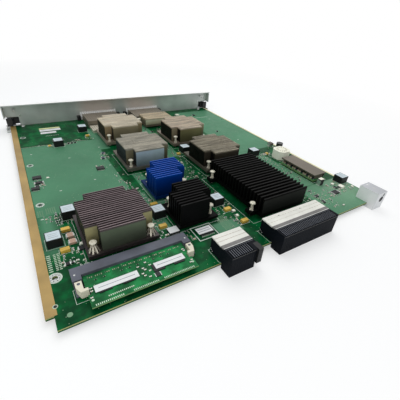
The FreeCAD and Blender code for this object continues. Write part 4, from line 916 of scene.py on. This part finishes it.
def panel_screw_heads():
    bm = bmesh.new()
    for low, high in SOLIDS_OF["panel_screws"]:
        x, y = board_mm((low + high) / 2)
        foot = (low.z - TOP) / MM
        top = (high.z - TOP) / MM
        add_lathe(bm, on_board(x, y), ((1.2, foot), (1.25, -0.05), (2.5, 0.0), (2.6, 0.3), (2.35, top - 0.5),
                                       (1.6, top - 0.1), (0.9, top), (0.1, top)), "Z", 28)
        for wide, deep in ((2.4, 0.5), (0.5, 2.4)):
            add_block(bm, x, y, wide, deep, top - 0.08, top, 1)
    piece = finish_mesh("panel_screws_detail", bm, [ZINC, DARK])
    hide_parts("panel_screws")


def panel_details():
    bm = bmesh.new()
    for hand in ("left", "right"):
        x0, y0, z0, x1, y1, z1 = node_mm(hand + "_ejector_yoke")
        for x in (x0 + 3, x1 - 3):
            for z in (z0 + 2.2, z1 - 2.2):
                add_lathe(bm, on_board(x, y0 - 2.0, z), RIVET, "Y", 16)
    finish_mesh("yoke_rivets", bm, [ZINC])
    holes = bmesh.new()
    for hand in ("left", "right"):
        x0, y0, z0, x1, y1, z1 = node_mm(hand + "_port_cage")
        bay = (x1 - x0) / 4
        for column in range(4):
            for row in range(5):
                for shift in (-4, 0, 4):
                    x = x0 + (column + 0.5) * bay + shift
                    add_block(holes, x, y0 + 6 + row * 6.5, 1.3, 1.3, z1, z1 + 0.03)
            if column:
                add_block(holes, x0 + column * bay, (y0 + y1) / 2 - 3, 0.3, 36, z1, z1 + 0.03, 1)
        for row in range(6):
            for x in (x0 - 0.02, x1):
                add_slab(holes, on_board(x, y0 + 5 + row * 6, 3), (0.02, 2.2, 2.2))
        x0, y0, z0, x1, y1, z1 = node_mm(hand + "_port_collar")
        for step in range(int((x1 - x0 - 2) / 2.9)):
            add_block(holes, x0 + 2.4 + step * 2.9, (y0 + y1) / 2, 0.9, y1 - y0 - 0.4, z1, z1 + 0.02, 1)
    x0, y0, z0, x1, y1, z1 = node_mm("shield_can")
    for column in range(16):
        x = x0 + 2.4 + column * (x1 - x0 - 4.8) / 15
        for row in range(6):
            add_disc(holes, x, y0 + 2.8 + row * (y1 - y0 - 5.6) / 5, 0.75, 0.05, z1, 0.03, 10)
        add_slab(holes, on_board(x - 0.6, y0 - 0.02, 1.4), (1.2, 0.02, 1.6))
    finish_mesh("sheet_holes", holes, [DARK, CAGE_SEAM])


# Connectors, guide block, socket, module, converter.

WAFER_PITCH = 2.5


def rib_tops(node):
    """The ribs on top of a shroud as (x0, x1, y0, y1), and the right end of its rear face."""
    mesh = nodes[node].data
    high = max(vertex.co.z for vertex in mesh.vertices)
    rear = min(vertex.co.y for vertex in mesh.vertices)
    ribs = set()
    for polygon in mesh.polygons:
        spots = [mesh.vertices[index].co for index in polygon.vertices]
        left, near = board_mm(Vector((min(p.x for p in spots), min(p.y for p in spots))))
        right, far = board_mm(Vector((max(p.x for p in spots), max(p.y for p in spots))))
        if min(p.z for p in spots) > high - 0.1 * MM and 0.5 < right - left < 1.2 and far - near > 5:
            ribs.add((round(left, 2), round(right, 2), round(near, 2), round(far, 2)))
    end = max(vertex.co.x for vertex in mesh.vertices if vertex.co.y < rear + 0.1 * MM)
    return sorted(ribs), (end - board_low.x) / MM


def connectors():
    """Pale and rusty lines on the caps, painted highlights on the rib tops and along the rear face, wafer
    seams, and joints under the board.
    """
    marks = bmesh.new()
    for kind, wafers in (("short", 12), ("long", 30)):
        x0, y0, z0, x1, y1, z1 = node_mm(kind + "_backplane_shroud")
        cap = node_mm(kind + "_backplane_cap")
        middle, width = (x0 + x1) / 2, x1 - x0
        add_block(marks, middle, -0.75, width - 0.4, 0.6, z1, z1 + 0.06)
        add_block(marks, middle, -2.4, width - 1.2, 0.35, z1 - 0.02, z1 + 0.04, 6)
        ribs, rear_end = rib_tops(kind + "_backplane_shroud")
        # Painted highlight along the top of the rear face, in the organiser's tone.
        add_slab(marks, on_board(x0 + 0.3, y0 - 0.02, z1 - 1.7), (rear_end - x0 - 0.6, 0.02, 0.3), 5)
        # Painted highlights: the rib tops are grey on the black shroud.
        for left, right, near, far in ribs:
            add_block(marks, (left + right) / 2, (near + far) / 2, right - left - 0.3, far - near - 0.5,
                      z1 - 0.02, z1 + 0.02, 6)
        for seam in (1, 2):
            y = cap[1] + seam * (cap[4] - cap[1]) / 3 + 0.25
            for step in range(0, int(width / 1.25), 3 if kind == "long" else 1):
                add_block(marks, x0 + 0.6 + step * 1.25, y, 0.8, 0.3, z1 - 0.3, z1 - 0.2, 1)
        for index in range(wafers):
            x = x0 + (index + 0.5) * WAFER_PITCH
            if x + 1.6 < rear_end:
                add_slab(marks, on_board(x + 1.2, y0 - 0.02, z0 + 0.4), (0.12, 0.02, z1 - z0 - 5.2), 2)
            for row in range(6):
                add_disc(marks, x, 1.6 + row * 2.6, 0.55, 0.05, -2.75, 0.35, 8, 4)
        for row in range(3):
            add_slab(marks, on_board(x0 - 0.03, 13.2 + row * 1.3, 1.2 + row), (0.03, 0.9, 0.7))
    for x, y in ((235.2, 13.0), (206, 13.6)):
        add_block(marks, x, y, 1.6, 0.8, 16, 16.02, 5)
    finish_mesh("connector_marks", marks, [PALE, RUST, DARK, GOLD, TIN, BAND, RIB])


def guide_details():
    bm = bmesh.new()
    x0, y0, z0, x1, y1, z1 = node_mm("guide_block")
    x = (x0 + x1) / 2
    # Painted shade: the slot in the near face is a flat dark slab.
    add_slab(bm, on_board(x0 + 10.5, y0 - 0.03, z1 - 11), (2.2, 0.03, 9.5))
    add_lathe(bm, on_board(x, y0 - 0.3, 8.0), ((4.3, 0.0), (4.6, 0.3)), "Y", 32, 1)
    add_lathe(bm, on_board(x, y0 - 0.34, 8.0), ((3.55, 0.0), (3.6, 0.1)), "Y", 32)
    for y in (2.5, 11.0):
        add_disc(bm, x, y, 1.5, 0.05, z1, 0.05, 24, 2)
    finish_mesh("guide_details", bm, [DARK, GUIDE, ZINC])


RESISTOR_ROW = 28.4     # where the module's two rows of small parts stand
CAPACITOR_ROW = 24.8


def module_and_socket():
    bm = bmesh.new()
    x0, y0, z0, x1, y1, top = node_mm("memory_module")
    for step in range(54):
        if step % 9 not in (3, 8):
            x = x0 + 3.2 + step * 1.42
            add_block(bm, x, RESISTOR_ROW, 0.6, 0.7, top, top + 0.4, 1 if step % 3 else 2)
            add_pair(bm, x, RESISTOR_ROW, 0, 0.5, 0.6, 0.3, top, top + 0.42, 5)
    for step in range(11):
        if step % 4 != 2:
            x = x0 + 8 + step * 6.4
            add_block(bm, x, CAPACITOR_ROW, 1.5, 0.7, top, top + 0.45, 2)
            add_pair(bm, x, CAPACITOR_ROW, 0.8, 0, 0.4, 0.7, top, top + 0.48, 5)
    for step in range(58):
        if not (14 < step < 20 or 34 < step < 38):
            add_block(bm, x0 + 3 + step * 1.32, y0 + 1.2, 0.7, 1.5, top, top + 0.04, 3)
    for step in range(14):
        add_block(bm, x0 + 12.5 + step * 1.35, y0 + 4.4 + 0.02 * step, 0.8, 1.2, top, top + 0.4, 3)
    for x, y in ((70, 19), (73.7, 24), (72, 9), (68, 14), (71, 17), (74, 14.5), (67, 22), (76, 20),
                 (69, 11.5), (31, 15.5), (31, 18), (29.8, 10), (107, 24), (107.4, 22), (106, 8), (108, 10)):
        add_block(bm, x, y, 1.3, 0.9, top, top + 0.5, 1)
        add_pair(bm, x, y, 0.6, 0, 0.5, 1.0, top, top + 0.55)
    add_block(bm, 78, 8.4, 3.2, 4.6, top + 0.1, top + 1.0, 2)
    for step in range(4):
        add_pair(bm, 78, 6.9 + step * 1.05, 2.1, 0, 1.1, 0.45, top, top + 0.35)
    for x in (x0 + 2, x1 - 2):
        add_disc(bm, x, y0 + 6, 1.0, 0.05, top, 0.04, 20, 3)
    x0, y0, z0, x1, y1, z1 = node_mm("memory_socket")
    for step in range(66):
        x = x0 + 12 + step * 1.1
        add_block(bm, x, y1 + 0.45, 0.35, 0.9, 0.05, 0.3)
        add_block(bm, x, y1 + 0.12, 0.35, 0.24, 0.3, 2.4)
        add_block(bm, x, y1 + 0.7, 0.55, 1.4, 0, 0.05, 3)
    for x in (23.5, x1 - 2.5):
        add_disc(bm, x, 33.5, 0.7, 0.05, z1, 0.05, 16)
    finish_mesh("module_and_socket_parts", bm, [TIN, CERAMIC, CHIP, PAD, SILK, FAINT_PAD])


def converter_details():
    bm = bmesh.new()
    x0, y0, z0, x1, y1, z1 = node_mm("converter_board")
    for step in range(18):
        y = y0 + 2.4 + step * 3.1
        tall, index = (2.2, 1) if step % 3 else (4.2, 2)
        for x in (x0 + 1.5, x1 - 1.5):
            add_block(bm, x, y, 1.5, 1.9, z1, z1 + tall, index)
            add_pair(bm, x, y, 0, 0.9, 1.55, 0.4, z1, z1 + 1.5)
    finish_mesh("converter_parts", bm, [TIN, CERAMIC, CHIP])


def drum_top():
    bm = bmesh.new()
    x0, y0, z0, x1, y1, z1 = node_mm("drum_capacitor")
    x, y, radius = (x0 + x1) / 2, (y0 + y1) / 2, (x1 - x0) / 2
    profile = ((radius - 0.6, z1 - 0.1), (radius - 0.5, z1 + 0.02), (0.1, z1 + 0.02))
    add_lathe(bm, on_board(x, y), profile, "Z", 32)
    for wide, deep in ((6.4, 0.25), (0.25, 6.4)):
        add_block(bm, x, y, wide, deep, z1 + 0.02, z1 + 0.05, 1)
    finish_mesh("drum_top", bm, [SLEEVE_TOP, DARK])


def choke_top():
    """A raised rim with slots all round."""
    bm = bmesh.new()
    x0, y0, z0, x1, y1, z1 = node_mm("power_choke")
    x, y = (x0 + x1) / 2, (y0 + y1) / 2
    add_lathe(bm, on_board(x, y), ((8.6, z1 - 0.05), (8.8, z1 + 0.1), (8.2, z1 + 0.25), (5.2, z1 + 0.25),
                                   (4.9, z1 + 0.05), (0.1, z1 + 0.05)), "Z", 32)
    for step, (a, b) in enumerate(around(14)):
        add_block(bm, x + 6.8 * a, y + 6.8 * b, 3.0, 1.1, z1 + 0.2, z1 + 0.55, 1, 360 / 14 * step)
    finish_mesh("choke_top", bm, [CREAM, CERAMIC_PALE])


def underside():
    """Solder joints under the board."""
    bm = bmesh.new()
    depth = (board_high.z - board_low.z) / MM
    for node in ("left_port_cage", "right_port_cage"):
        x0, y0, z0, x1, y1, z1 = node_mm(node)
        for column in range(9):
            x = x0 + column * (x1 - x0) / 8
            for row in range(6):
                add_disc(bm, x, y0 + 3 + row * 7, 0.9, 0.05, -depth - 0.35, 0.35, 10)
    for node in ("power_choke", "drum_capacitor", "converter_plate"):
        x0, y0, z0, x1, y1, z1 = node_mm(node)
        for x in (x0 + 3, x1 - 3):
            for y in (y0 + 3, y1 - 3):
                add_disc(bm, x, y, 1.4, 0.05, -depth - 0.5, 0.5, 14)
    finish_mesh("underside_joints", bm, [TIN])


for make in (module_lids, passives, larger_parts, chip_legs, board_marks, labels, push_pins,
             processor_pin_skirts, captive_screws, panel_screw_heads, panel_details, connectors,
             guide_details, module_and_socket, converter_details, drum_top, choke_top, underside):
    make()


# Camera.

scene = bpy.context.scene
camera_data = bpy.data.cameras.new("camera")
camera = bpy.data.objects.new("camera", camera_data)
scene.collection.objects.link(camera)
scene.camera = camera
camera_data.sensor_width = 36
camera_data.lens = 25.55
camera_data.clip_start = 0.01
CAMERA_PLACE = (-0.16585, -0.53092, 0.17758)
ROLL = math.radians(4.96)
forward = Vector((0.470, 0.692, -0.547)).normalized()
level = forward.cross(Vector((0, 0, 1))).normalized()
upright = level.cross(forward)
right = level * math.cos(ROLL) + upright * math.sin(ROLL)
up = upright * math.cos(ROLL) - level * math.sin(ROLL)
camera_axes = Matrix((right, up, -forward)).transposed()
camera.matrix_world = Matrix.Translation(CAMERA_PLACE) @ camera_axes.to_4x4()

scene.view_settings.view_transform = "Standard"

# Floor. Far from the object it turns into the white backdrop, for camera rays only.

bm = bmesh.new()
bmesh.ops.create_grid(bm, x_segments=1, y_segments=1, size=3.0)
floor_mesh = bpy.data.meshes.new("floor")
bm.to_mesh(floor_mesh)
bm.free()
floor = bpy.data.objects.new("floor", floor_mesh)
scene.collection.objects.link(floor)
white = Shader("floor_white", (244, 244, 244), rough=0.9, specular=0.1)
far = white.add("ShaderNodeVectorMath", operation="LENGTH")
white.link(white.position(), far.inputs[0])
fade = white.scale_map(far.outputs["Value"], 0.3, 0.75)
seen = white.add("ShaderNodeLightPath").outputs["Is Camera Ray"]
white.bsdf.inputs["Emission Color"].default_value = (1, 1, 1, 1)
white.link(white.math("MULTIPLY", seen, 0.2), white.bsdf.inputs["Emission Strength"])
glow = white.add("ShaderNodeEmission").outputs["Emission"]
faded = white.blend(white.math("MULTIPLY", fade, seen), white.bsdf.outputs["BSDF"], glow)
white.link(faded, white.tree.nodes["Material Output"].inputs["Surface"])
floor_mesh.materials.append(white.material)

# Light. The camera and reflections see a plain white world, and the rest gets a dimmer one.

world = bpy.data.worlds.new("world")
scene.world = world
world.use_nodes = True
sky = Tree(world.node_tree)
sky.tree.nodes.clear()
plain = sky.add("ShaderNodeBackground", Color=(1, 1, 1, 1), Strength=1.0).outputs["Background"]
dim = sky.add("ShaderNodeBackground", Color=(0.95, 0.98, 1.0, 1), Strength=0.46).outputs["Background"]
rays = sky.add("ShaderNodeLightPath").outputs
mirrored = sky.math("MAXIMUM", rays["Is Glossy Ray"], rays["Is Transmission Ray"])
lit = sky.blend(sky.math("MAXIMUM", rays["Is Camera Ray"], mirrored), dim, plain)
sky.link(lit, sky.add("ShaderNodeOutputWorld").inputs["Surface"])


def area_light(name, place, target, size, power):
    data = bpy.data.lights.new(name, "AREA")
    data.size = size
    data.energy = power
    light = bpy.data.objects.new(name, data)
    scene.collection.objects.link(light)
    light.location = place
    light.rotation_euler = (Vector(target) - Vector(place)).to_track_quat("-Z", "Y").to_euler()


area_light("key", (0.3, 0.2, 1.15), (0, -0.2, 0), 1.1, 6.6)
area_light("fill", (-0.7, -0.9, 0.75), (0, -0.2, 0), 0.9, 3.6)
